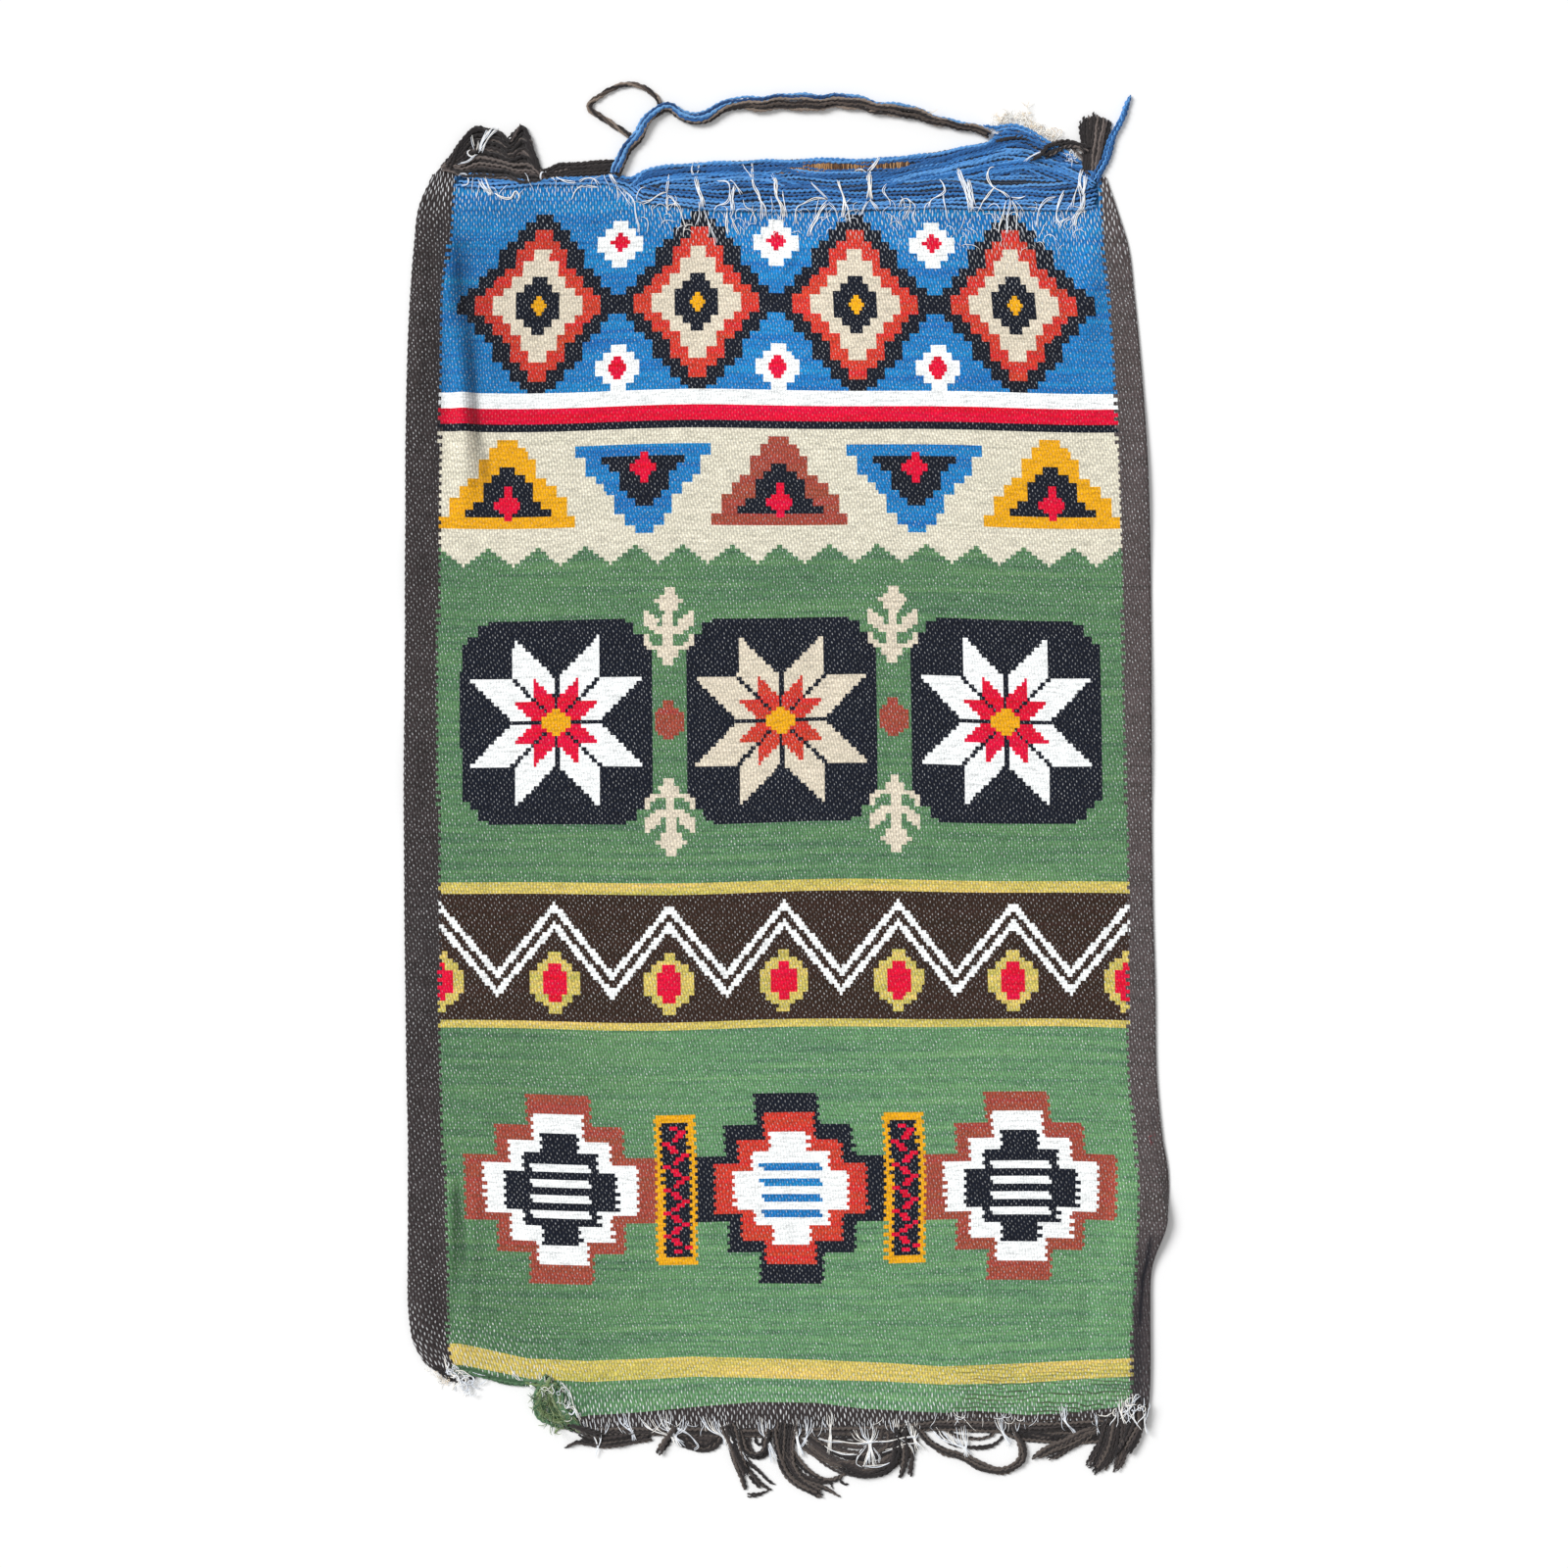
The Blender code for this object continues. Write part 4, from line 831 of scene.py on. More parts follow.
def warp_flecks(n, leaning, up, half_width, half_height, least):
    """Pale flecks in a brick pattern. Each has its own place, and a strength from the least to 1."""
    layers = []
    for shift in (0.0, 0.5):
        u, v = n.plus(leaning, shift), n.plus(up, shift)
        cell = n.add("ShaderNodeCombineXYZ", {0: n.maths("FLOOR", u), 1: n.maths("FLOOR", v), 2: shift})[0]
        own = n.split(n.add("ShaderNodeTexWhiteNoise", {0: cell})["Color"])
        squares = []
        for at, moved, half in ((u, own[0], half_width), (v, own[1], half_height)):
            away = n.maths("DIVIDE", n.minus(n.scaled(moved, 0.2, n.maths("FRACT", at)), 0.6), half)
            squares.append(n.times(away, away))
        shape = n.remap(n.plus(*squares), 1.5, 0.3, 0.0, 1.0)
        layers.append(n.times(shape, n.remap(own[2], 0.0, 1.0, least, 1.0)))
    return n.maths("MAXIMUM", *layers)


def woven_material():
    """Weft-faced wool: streaked dyes, pale warp flecks, the ribs that the wefts make over the warps, and
    painted shade.
    """
    n = Nodes("woven_wool", 0.92, 0.07)
    uv = n.add("ShaderNodeUVMap", uv_map="OFBake")[0]
    weave = n.stretched(uv, UV_SPAN / FLECK_WIDTH, UV_SPAN / FLECK_HEIGHT)
    across = n.scaled(n.noise(uv, 26.0, 1.0), 0.9, n.split(weave)[0])
    across = n.scaled(n.noise(weave, 0.55, 0.0), 0.5, across)
    up = n.scaled(n.noise(uv, 19.0, 1.0), 1.2, n.attribute("course"))
    up = n.scaled(n.noise(weave, 0.47, 0.0), 0.5, up)
    leaning = n.scaled(up, FLECK_LEAN, across)
    dye = n.add("ShaderNodeAttribute", attribute_name="dye")
    heather, slack, bare_and_shade = dye["Alpha"], n.attribute("slack"), n.attribute("bare_and_shade")

    # Streaks: long ones along the picks, and short ones within a yarn
    long_streaks = n.noise(n.stretched(weave, 0.03, 0.85), 1.0, 3.0, 0.65)
    short_streaks = n.noise(n.stretched(weave, 0.4, 2.2), 1.0, 2.0, 0.6)
    fibres = n.noise(weave, 4.0, 2.0, 0.7)
    hue = n.scaled(n.remap(long_streaks, 0.25, 0.75, -0.05, 0.014), heather, 0.5)
    light = n.times(n.remap(long_streaks, 0.25, 0.75, 0.4, -0.36), heather)
    light = n.plus(light, n.remap(short_streaks, 0.25, 0.75, -0.3, 0.3))
    light = n.plus(light, n.remap(fibres, 0.3, 0.7, -0.26, 0.26))
    streaked = {"Hue": hue, "Value": n.plus(light, 1.0), "Color": dye["Color"]}
    streaked = n.add("ShaderNodeHueSaturation", streaked)[0]

    # The wefts bulge over every other warp, one row over the even warps and the next over the odd ones.
    columns = n.wave("COSINE", leaning, 2)
    bricks = n.times(n.wave("COSINE", leaning, 1), n.wave("COSINE", up, 1))
    rib = n.minus(n.scaled(columns, 0.22, 0.5), n.times(bricks, 0.28))
    shade = n.times(n.minus(1.0, rib), n.remap(heather, 0.08, 0.24, 0.12, 0.62))
    shaded = n.mix(shade, streaked, (0.0, 0.0, 0.0, 1.0))

    # Flecks: longer and paler where the weave is slack, faint on the brightest dyes, gone where it is bare
    half_width, half_height = n.scaled(slack, 0.006, 0.09), n.scaled(slack, 0.09, 0.19)
    flecks = warp_flecks(n, leaning, up, half_width, half_height, n.scaled(slack, 0.45, 0.2))
    strength = n.scaled(slack, 0.6, n.scaled(heather, 0.45, 0.3))
    uneven = n.remap(n.noise(weave, 0.3, 1.0), 0.3, 0.7, 0.65, 1.1)
    strength = n.times(strength, uneven, n.remap(heather, 0.12, 0.24, 0.25, 1.0), n.minus(1.0, bare_and_shade))
    fleck = n.times(flecks, strength, clamp=True)
    pale = n.mix(fleck, shaded, (*linear(236, 238, 240), 1.0))
    # Painted shade: the cloth turns near black where the weave is gone under the loose wefts, and in the
    # fold
    shown = n.mix(n.times(bare_and_shade, 0.75), pale, (0.004, 0.008, 0.015, 1.0))

    # Where picks have parted, dark gaps show between them.
    broken = n.noise(n.stretched(weave, 0.09, 1.6), 1.0, 1.0)
    gap = n.remap(n.wave("SINE", up, 2), 0.1, 0.9, 0.0, 1.0)
    gap = n.times(gap, n.remap(broken, 0.36, 0.6, 0.12, 1.0), n.scaled(columns, 0.24, 0.76))
    gap = n.times(gap, n.attribute("parted"))
    shown = n.mix(gap, shown, (0.045, 0.032, 0.024, 1.0))
    height = n.scaled(fleck, -0.35, n.scaled(fibres, 0.5, rib))
    # Painted shade darkens the cloth along its creases
    crease_shaded = n.mix(n.attribute("crease_shade"), shown, (0.008, 0.009, 0.014, 1.0))
    return n.finish(crease_shaded, 0.6, 0.0007, n.scaled(gap, -1.5, height))


def yarn_material(name, roughness=0.9, sheen=0.2, contrast=0.35):
    """Spun yarn: its own dye, mottled by its fibres, with a fibrous surface."""
    n = Nodes(name, roughness, sheen)
    place = n.place()
    mottle = n.noise(place, 900.0, 3.0, 0.65)
    patches = n.remap(n.noise(place, 90.0, 2.0, 0.5), 0.3, 0.7, -0.12, 0.12)
    value = n.plus(n.remap(mottle, 0.25, 0.75, 1 - contrast, 1 + contrast), patches)
    dyed = n.add("ShaderNodeHueSaturation", {"Value": value, "Color": n.attribute("dye", "Color")})[0]
    return n.finish(dyed, 0.5, 0.0003, mottle)


def floor_material():
    n = Nodes("pale_floor", 0.8, 0.0)
    tint = n.mix(n.noise(n.place(), 3.0), (0.93, 0.93, 0.93, 1.0), (0.95, 0.95, 0.95, 1.0))
    n.fill(n.shader, {"Base Color": tint})
    return n.material


def new_object(name, data):
    made = bpy.data.objects.new(name, data)
    bpy.context.scene.collection.objects.link(made)
    return made


def mesh_object(name, places, faces, material):
    """A mesh object from places in millimetres."""
    mesh = bpy.data.meshes.new(name)
    mesh.from_pydata((np.asarray(places) * MM).tolist(), [], faces)
    mesh.materials.append(material)
    return new_object(name, mesh)


def piece_object(name, places, faces, material):
    """A smooth piece. It rides on the one body."""
    made = mesh_object(name, places, faces, material)
    made.data.shade_smooth()
    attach(made, "root")
    return made


def add_values(mesh, name, values, domain="POINT"):
    """Gives a mesh a layer of numbers, or of colours where each value is a row."""
    values = np.asarray(values, np.float32)
    kind, field = ("FLOAT", "value") if values.ndim == 1 else ("FLOAT_COLOR", "color")
    mesh.attributes.new(name, kind, domain).data.foreach_set(field, values.ravel())


def run_lengths(points):
    return np.concatenate([[0.0], np.cumsum(np.linalg.norm(np.diff(points, axis=0), axis=1))])


def smooth_route(points, step=YARN_STEP):
    """Places every step or so along a smooth curve through a route's own points."""
    points = np.array([(*p, 0.0) if len(p) == 2 else p for p in points], float)
    padded = np.vstack([points[:1], points, points[-1:]])
    s = np.linspace(0, 1, 12, endpoint=False)[:, None]
    fine = [
        0.5 * (2 * p1 + (p2 - p0) * s + (2 * p0 - 5 * p1 + 4 * p2 - p3) * s**2
               + (3 * p1 - p0 - 3 * p2 + p3) * s**3)
        for p0, p1, p2, p3 in zip(padded, padded[1:], padded[2:], padded[3:])
    ]
    fine = np.vstack([*fine, points[-1:]])
    lengths = run_lengths(fine)
    wanted = np.linspace(0.0, lengths[-1], max(3, round(lengths[-1] / step) + 1))
    return np.stack([np.interp(wanted, lengths, fine[:, axis]) for axis in range(3)], axis=1)


def unit(vectors):
    return vectors / np.maximum(np.linalg.norm(vectors, axis=-1), 1e-6)[..., None]


def aside(points):
    """The level direction to the left of a route at each of its points."""
    along = np.gradient(points, axis=0)
    along[:, 2] = 0
    along = unit(along)
    return np.stack([-along[:, 1], along[:, 0], np.zeros(len(points))], axis=1)


def ground(x, y):
    """The height of what lies under a loose yarn: the cloth's face, or the surface beside the cloth."""
    top, bottom = straight_at(TOP_END, x), straight_at(BOTTOM_END, x)
    inside = smooth_step((top - y + 1.5) / 3) * smooth_step((y - bottom + 1.5) / 3)
    return inside * (CLOTH_THICKNESS + relief(x, y))


def heap(x, y):
    """How high the loosened wefts lie at a place."""
    total = np.zeros(np.shape(x))
    for low, high, height in HEAPS:
        within = (x > low[0][0]) & (x < low[-1][0])
        above, below = straight_at(high, x) - y, y - straight_at(low, x)
        inside = smooth_step((above + 1) / 2) * smooth_step((below + 1) / 2)
        total = np.maximum(total, within * height * inside)
    return total


def lay(points, above):
    """Lays a yarn on the ground, with its middle so far above it."""
    points[:, 2] = ground(points[:, 0], points[:, 1]) + above


def lay_on_wefts(points, above, on_swags=0.0):
    """Lays a thread on the loosened wefts, and at least as high as the swags where it crosses them."""
    lay(points, heap(points[:, 0], points[:, 1]) + above)
    points[:, 2] = np.maximum(points[:, 2], np.where(points[:, 1] < SWAG_TOP, on_swags, 0.0))


def crimp(points, amount, phase=0.0):
    """The small waves that a weft keeps after it has come out of the weave."""
    s = run_lengths(points) * 2 * math.pi / CRIMP_PERIOD + phase
    waves = aside(points) * np.sin(s)[:, None]
    waves[:, 2] = 0.5 * np.cos(s)
    return points + amount * waves


Yarn = namedtuple("Yarn", "points radius colour")


def tapered(count, radius, start=0.0, end=0.0):
    """Radii along a yarn, thinned towards its ends over a few points where a share says so."""
    i = np.arange(count)
    thin = 1 - start * np.exp(-i / 2.0) - end * np.exp(-(count - 1 - i) / 2.0)
    return radius * thin


def pick(colours, rng):
    return colours[int(rng.integers(len(colours)))]


def spun(points, radius, start, end, colours, rng):
    """A yarn thinned by the shares start and end at its ends, in one of the colours."""
    return Yarn(points, tapered(len(points), radius, start, end), pick(colours, rng))


def yarn_object(name, yarns, material, slot, sides=8, lobes=0.2):
    """One mesh of closed tubes. Two plies show as lobes that turn along each yarn."""
    places, faces, colours = [], [], []
    k = np.arange(sides)
    after = (k + 1) % sides
    angles = k * 2 * math.pi / sides
    total = 0
    for points, radius, colour in yarns:
        count = len(points)
        along = unit(np.gradient(points, axis=0))
        side = unit(np.cross(along, (0.0, 0.0, 1.0)))
        over = np.cross(side, along)
        turn = run_lengths(points)[:, None] * 2 * math.pi / PLY_PITCH / 2
        reach = radius[:, None] * (1 + lobes * np.cos(2 * (angles - turn)))
        ring = (
            points[:, None]
            + (reach * np.cos(angles))[..., None] * side[:, None]
            + (reach * np.sin(angles))[..., None] * over[:, None]
        )
        tube = np.vstack([ring.reshape(-1, 3), points[[0, -1]]])
        tube[:, 2] = np.maximum(tube[:, 2], LEAST_HEIGHT)
        places.append(tube)
        rings = total + np.arange(count)[:, None] * sides
        low, high = rings[:-1], rings[1:]
        faces += np.stack([low + k, low + after, high + after, high + k], axis=-1).reshape(-1, 4).tolist()
        start, end = total + count * sides, total + count * sides + 1
        faces += [(start, int(b), int(a)) for a, b in zip(rings[0] + k, rings[0] + after)]
        faces += [(end, int(a), int(b)) for a, b in zip(rings[-1] + k, rings[-1] + after)]
        colours.append(np.tile((*colour, 1.0), (count * sides + 2, 1)))
        total = end + 1
    made = piece_object(name, np.vstack(places), faces, material)
    add_values(made.data, "dye", np.vstack(colours))
    return made


def near_edge(x, y):
    """Whether a place is beside a raw end of the cloth, so that a yarn there comes out of the weave."""
    return min(abs(y - straight_at(end, x)) for end in (TOP_END, BOTTOM_END)) < EDGE_REACH


def drawn_out(point, inner, lead):
    """The place that carries a route on past its end by a lead."""
    return point + (point - inner) / np.linalg.norm(point - inner) * lead


def strand_yarns(strands, colours, rng, cover=1.15, lead=7.0, layer=0.0, fewest=2):
    """The yarns of loosened strands, side by side along their routes, with more on top of a wide strand."""
    made = []
    for strand in strands:
        route = [np.array(p, float) for p in strand.route]
        free_tip = not near_edge(*route[-1])
        if near_edge(*route[0]):
            route.insert(0, drawn_out(route[0], route[1], lead))
        if not free_tip:
            route.append(drawn_out(route[-1], route[-2], lead))
        middle = smooth_route(route)
        widths = np.linspace(strand.root, strand.tip, len(middle)) * cover
        count = max(fewest, round(strand.root * cover / YARN_WIDTH))
        sideways = aside(middle)
        s = run_lengths(middle)
        for level in range(2 if count > 2 else 1):
            for k in range(count - level):
                across = (k + 0.5 + level / 2) / count - 0.5
                radius = min(YARN_WIDTH, widths.mean() / count * 1.15) / 2 * rng.uniform(0.88, 1.12)
                cut = len(middle) - (int(rng.integers(0, 6)) if free_tip else 0)
                wander = 0.7 * np.sin(s / rng.uniform(4, 9) + rng.uniform(0, 6))
                points = middle + sideways * (across * (widths - 2 * radius) * 1.1 + wander)[:, None]
                lay(points, radius * (1 + 1.7 * level) + layer)
                points = crimp(points, rng.uniform(0.3, 0.6), rng.uniform(0, 6))[:cut]
                made.append(spun(points, radius, 0.5, 0.6, colours, rng))
    return made


def warp_threads(warps, rng):
    """White threads that run side by side on top of the wefts, and part a little at both ends."""
    made = []
    for warp in warps:
        middle = smooth_route(warp.route)
        sideways = aside(middle)
        t = np.linspace(0, 1, len(middle))
        s = run_lengths(middle)
        count = max(2, round(warp.threads * 0.75))
        fan = 0.6 * (1 - t) ** 2 + 0.9 * t**2 + 0.42
        for k in range(count):
            across = (k + 0.5) / count - 0.5
            wander = 0.45 * np.sin(s / rng.uniform(2.6, 5.0) + rng.uniform(0, 6))
            points = middle + sideways * (across * count * WARP_WIDTH * fan + wander)[:, None]
            dips = ON_SWAG - 0.1 + 0.9 * np.sin(s / 6 + 2 * k + middle[0, 0])
            lay_on_wefts(points, rng.uniform(0.4, 0.9), dips)
            points = points[int(rng.integers(0, 3)):len(points) - int(rng.integers(0, 3))]
            made.append(spun(points, WARP_WIDTH / 2 * rng.uniform(0.8, 1.25), 0.5, 0.5, WHITE_YARNS, rng))
    return made


def gather_threads(gathers, rng):
    """White warp ends that draw together from the weave into a knot and fray below it."""
    made = []
    for gather in gathers:
        for k in range(gather.threads):
            share = (k + 0.5) / gather.threads
            across = share - 0.5
            top = min(gather.top, gather.knot_y + 14)
            start = (gather.left + (gather.right - gather.left) * share, top + rng.uniform(-3, 4))
            knot = (gather.knot_x + across * 0.28 * gather.threads, gather.knot_y)
            tip = (gather.tip_x + across * gather.threads * 0.9, gather.tip_y + rng.uniform(-2, 3))
            bow_x = start[0] * 0.7 + knot[0] * 0.3 + rng.uniform(-0.8, 0.8)
            points = smooth_route((start, (bow_x, start[1] * 0.45 + knot[1] * 0.55), knot, tip))
            points += aside(points) * (0.25 * np.sin(run_lengths(points) / rng.uniform(2, 4)))[:, None]
            lay_on_wefts(points, rng.uniform(0.4, 1.2), ON_SWAG)
            made.append(spun(points, WARP_WIDTH / 2 * rng.uniform(0.7, 1.0), 0.6, 0.5, WHITE_YARNS, rng))
    return made


def make_way(xs, y, slits):
    """Heights of a yarn that bends around slits, each given by its middle, half length and half height."""
    for slit_x, slit_y, reach, gap in slits:
        off = np.interp(slit_x, xs, y) - slit_y
        side = 1.0 if off >= 0 else -1.0
        y = y + side * gap * math.exp(-abs(off) / 4) * np.exp(-(((xs - slit_x) / reach) ** 4))
    return y


def softened(values, reach=2):
    """Values along a line with their kinks rounded off."""
    padded = np.pad(values, reach, mode="edge")
    return np.convolve(padded, np.full(2 * reach + 1, 1 / (2 * reach + 1)), mode="valid")


def band_yarns(low, high, ends, colours, rng, pitch=2.7, bow=0.8, lift=0.0, slits=(), parting=0.5):
    """Wefts that fill the band between two lines: the lower follow the low line, the upper the high one."""
    xs = np.arange(ends[0], ends[1], YARN_STEP)
    bottom, top = softened(straight_at(low, xs)), softened(straight_at(high, xs))
    middle = bottom + (top - bottom) * parting
    made = []
    for side, sign in ((bottom, 1), (top, -1)):
        for k in range(40):
            y = side + sign * pitch * (k + 0.5)
            there = sign * (middle - y) > -0.35 * pitch
            if not there.any():
                break
            fade = min(1.0, 0.5 + k / 4)
            waves = np.sin(xs / 23 + 0.35 * k) + 0.6 * np.sin(xs / 8.5 + rng.uniform(0, 6))
            y = make_way(xs, y + bow * fade * waves, slits)
            edges = np.flatnonzero(np.diff(np.concatenate([[False], there, [False]]).astype(int)))
            for first, last in zip(edges[::2], edges[1::2]):
                first, last = first + int(rng.integers(0, 3)), last - int(rng.integers(0, 3))
                if last - first < 6:
                    continue
                radius = LOOSE_RADIUS * rng.uniform(0.9, 1.12)
                points = np.stack([xs[first:last], y[first:last], np.zeros(last - first)], axis=1)
                lay(points, radius * 0.8 + lift + rng.uniform(0, 0.4))
                points = crimp(points, rng.uniform(0.3, 0.55), rng.uniform(0, 6))
                made.append(spun(points, radius, 0.5, 0.5, colours, rng))
    return made


def under_yarns(low, high, ends, colours, rng, pitch=1.9, lift=-0.5):
    """Dark wefts close together, which fill a band below the ones that show: their darkness is painted shade
    in the gaps between those.
    """
    return band_yarns(low, high, ends, colours, rng, pitch, 0.15, lift, parting=0.93)


def sheaf_yarns(low, high, ends, count, colours, rng, waves=0.9, lift=0.0):
    """Wefts spread between two lines, so that they draw together where the lines do."""
    xs = np.arange(ends[0], ends[1], YARN_STEP)
    bottom, top = softened(straight_at(low, xs)), straight_at(high, xs)
    made = []
    for k in range(count):
        share = (k + 0.5) / count
        y = bottom + (softened(top, 1 + round(9 * (1 - share))) - bottom) * share
        y += waves * (1 - share**4) * (np.sin(xs / 6.5 + 0.45 * k) + 0.6 * np.sin(xs / 3.6 + 0.3 * k + 2))
        first, last = int(rng.integers(0, 5)), len(xs) - int(rng.integers(0, 5))
        radius = LOOSE_RADIUS * rng.uniform(0.88, 1.15)
        points = np.stack([xs, y, np.zeros(len(xs))], axis=1)
        lay(points, radius * 0.8 + lift + rng.uniform(0, 1.1))
        points = smooth_route(crimp(points[first:last], rng.uniform(0.3, 0.5), rng.uniform(0, 6)))
        made.append(spun(points, radius, 0.5, 0.5, colours, rng))
    return made


def upright_threads(patches, colours, rng):
    """Short threads side by side, which show through the slits between the loosened wefts."""
    made = []
    for left, right, low, high in patches:
        for x in np.arange(left, right, 1.35):
            y = np.linspace(low, high, 6)
            points = np.stack([x + 0.25 * np.sin(y + x), y, ground(np.full(6, x), y) + 1.5], axis=1)
            made.append(spun(points, 0.7, 0.0, 0.0, colours, rng))
    return made


def fan_yarns(root, root_half, tip, tip_half, count, colours, rng, radius, lift=0.0):
    """Yarns that rise side by side from a root and spread to a rounded tip."""
    root, tip = np.array(root, float), np.array(tip, float)
    along = (tip - root) / np.linalg.norm(tip - root)
    across = np.array([along[1], -along[0]])
    made = []
    for k in range(count):
        share = 2 * (k + 0.5) / count - 1
        short = along * (4 * share**2 + rng.uniform(0, 1.5))
        neck = root + (tip - root) * 0.35 + across * share * root_half * 1.1
        start, end = root + across * share * root_half, tip + across * share * tip_half - short
        points = smooth_route((start, neck, end))
        points += aside(points) * (0.4 * np.sin(run_lengths(points) / rng.uniform(3, 6) + k))[:, None]
        lay(points, radius * 0.9 + lift + rng.uniform(0, 0.5))
        points = crimp(points, 0.25, rng.uniform(0, 6))
        made.append(spun(points, radius, 0.3, 0.4, colours, rng))
    return made


def stray_threads(edge, low, high, pitch, sign, rng, drop=(2, 9), bend=0.11):
    """Single warp ends that stand out along the weave's end, or start some way into the weave."""
    made = []
    for x in np.sort(rng.uniform(low, high, round((high - low) / pitch))):
        y = straight_at(edge, x) - sign * rng.uniform(*drop)
        heading = math.pi / 2 * sign + rng.normal(0, 0.15)
        turning, place, points = 0.0, np.array([x, y]), []
        for _ in range(int(rng.integers(4, 16))):
            turning = 0.8 * turning + rng.normal(0, bend)
            heading += turning
            points.append(place)
            place = place + np.array([math.cos(heading), math.sin(heading)]) * 1.2
        points = smooth_route(points)
        lay_on_wefts(points, rng.uniform(0.4, 0.9))
        made.append(spun(points, WARP_WIDTH / 2 * rng.uniform(0.6, 0.95), 0.6, 0.6, WHITE_YARNS, rng))
    return made


def curly_fibres(tangles, rng):
    """Tangles of fine fibres along routes, each fibre curling its own way."""
    made = []
    for tangle in tangles:
        spine = smooth_route(tangle.route, 1.0)
        sideways = aside(spine)
        for _ in range(tangle.count):
            at = int(rng.integers(len(spine)))
            x, y, _ = spine[at] + sideways[at] * rng.normal(0, tangle.half_width / 2)
            heading, turning = rng.uniform(0, 2 * math.pi), rng.uniform(-0.45, 0.45)
            height = float(ground(x, y) + heap(x, y)) + rng.uniform(0.4, tangle.rise)
            points = []
            for step in range(int(rng.integers(tangle.steps // 2, tangle.steps))):
                turning = 0.85 * turning + rng.normal(0, tangle.curl)
                heading += turning
                x, y = x + 0.9 * math.cos(heading), y + 0.9 * math.sin(heading)
                points.append((x, y, height + 0.6 * math.sin(step / 3 + at)))
            made.append(spun(np.array(points), tangle.radius, 0.4, 0.7, tangle.colours, rng))
    return made


def add_camera():
    data = bpy.data.cameras.new("camera")
    data.sensor_width = 36.0
    data.lens = data.sensor_width * (CAMERA_HEIGHT - CLOTH_THICKNESS) / FRAME_WIDTH
    made = new_object("camera", data)
    made.location = (FRAME_CENTRE[0] * MM, FRAME_CENTRE[1] * MM, CAMERA_HEIGHT * MM)
    bpy.context.scene.camera = made


def cord_centreline(route, diameter, step=YARN_STEP):
    points = smooth_route(route, step)
    points[:, 2] = diameter / 2 + 0.1
    return points


# Each yarn of the bundle: its dye, and where it lies in the cross-section, across and up, at the start, past
# the crown, and at the end
BUNDLE_SEATS = (
    (BUNDLE_BLUES[0], (-1.0, 0.0), (-1.0, 0.15), (-0.7, -0.6)),
    (BUNDLE_BLUES[1], (-0.55, 0.5), (-0.68, 0.55), (-0.4, -0.7)),
    (BUNDLE_BLUES[0], (-0.1, 0.8), (-0.45, 0.1), (-0.9, -0.2)),
    (BUNDLE_BLUES[3], (0.35, 0.6), (-0.8, -0.5), (-0.2, -0.8)),
    (BUNDLE_BROWNS[1], (0.68, 0.3), (-0.3, 0.85), (-0.5, 0.7)),
    (BUNDLE_BROWNS[0], (1.0, -0.1), (0.05, 0.7), (-0.05, 0.9)),
    (BUNDLE_BROWNS[2], (0.5, -0.4), (0.4, 0.75), (0.45, 0.7)),
    (BUNDLE_BROWNS[0], (0.1, -0.5), (0.72, 0.35), (0.95, 0.0)),
    (BUNDLE_BROWNS[1], (-0.4, -0.5), (1.0, -0.1), (0.8, -0.3)),
    (BUNDLE_BROWNS[3], (0.85, -0.5), (0.3, -0.4), (0.2, -0.3)),
)
# Two short ends that stand up at the crown of the bundle
BUNDLE_ENDS = (
    ((30, 570, 6), (36, 572, 6), (39.5, 574.3, 5)),
    ((33, 571, 6), (38, 572.5, 6), (40.5, 573.5, 5)),
)


def add_bundle(wool):
    """The long free bundle: mostly blue yarns up to its crown, and mostly brown ones past it."""
    rng = np.random.default_rng(11)
    middle = cord_centreline((*BUNDLE_ROUTE, (166.5, 540.4)), BUNDLE_DIAMETER)
    s = run_lengths(middle)
    t = s / s[-1]
    past = smooth_step((t - 0.3) / 0.14) + smooth_step((t - 0.6) / 0.25)
    sideways = aside(middle)
    middle = middle + sideways * (0.8 * np.sin(s / 8.3) + 0.5 * np.sin(s / 3.7 + 1))[:, None]
    middle[:, 0] -= 2.6 * np.exp(-s / 14)
    swollen = 2.0 * smooth_step((t - 0.28) / 0.12) * smooth_step((0.97 - t) / 0.35)
    half = 3.3 + swollen + 0.5 * np.sin(s / 13) - 0.8 * smooth_step((t - 0.8) / 0.2)
    yarns = []
    for colour, *seats in BUNDLE_SEATS:
        radius = 1.25 * rng.uniform(0.88, 1.12)
        across, over = (np.interp(past, (0, 1, 2), [seat[axis] for seat in seats]) for axis in (0, 1))
        swing = 0.5 * np.sin(s / rng.uniform(5, 9) + rng.uniform(0, 6))
        points = middle - sideways * (across * half + swing)[:, None]
        points[:, 2] = np.maximum(middle[:, 2] - 1.0 + over * 2.8, radius)
        points[:, 2] += 0.4 * np.sin(s / rng.uniform(5, 9))
        points = crimp(points, 0.3, rng.uniform(0, 6))
        slubs = 1 + 0.16 * np.sin(s / rng.uniform(3, 6) + rng.uniform(0, 6))
        start, stop = int(rng.integers(0, 3)), len(points) - int(rng.integers(0, 4))
        thick = tapered(stop - start, radius, 0.35, 0.45) * slubs[start:stop]
        yarns.append(Yarn(points[start:stop], thick, colour))
    for route in BUNDLE_ENDS:
        tuft = smooth_route(route)
        yarns.append(Yarn(tuft, tapered(len(tuft), 1.1, 0.2, 0.7), BUNDLE_BLUES[len(yarns) % 3]))
    made = yarn_object("loose_yarn_bundle", yarns, wool, "blue_yarn")
    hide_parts("loose_yarn")
    line = cord_centreline(BUNDLE_ROUTE, BUNDLE_DIAMETER, 3.0) * MM


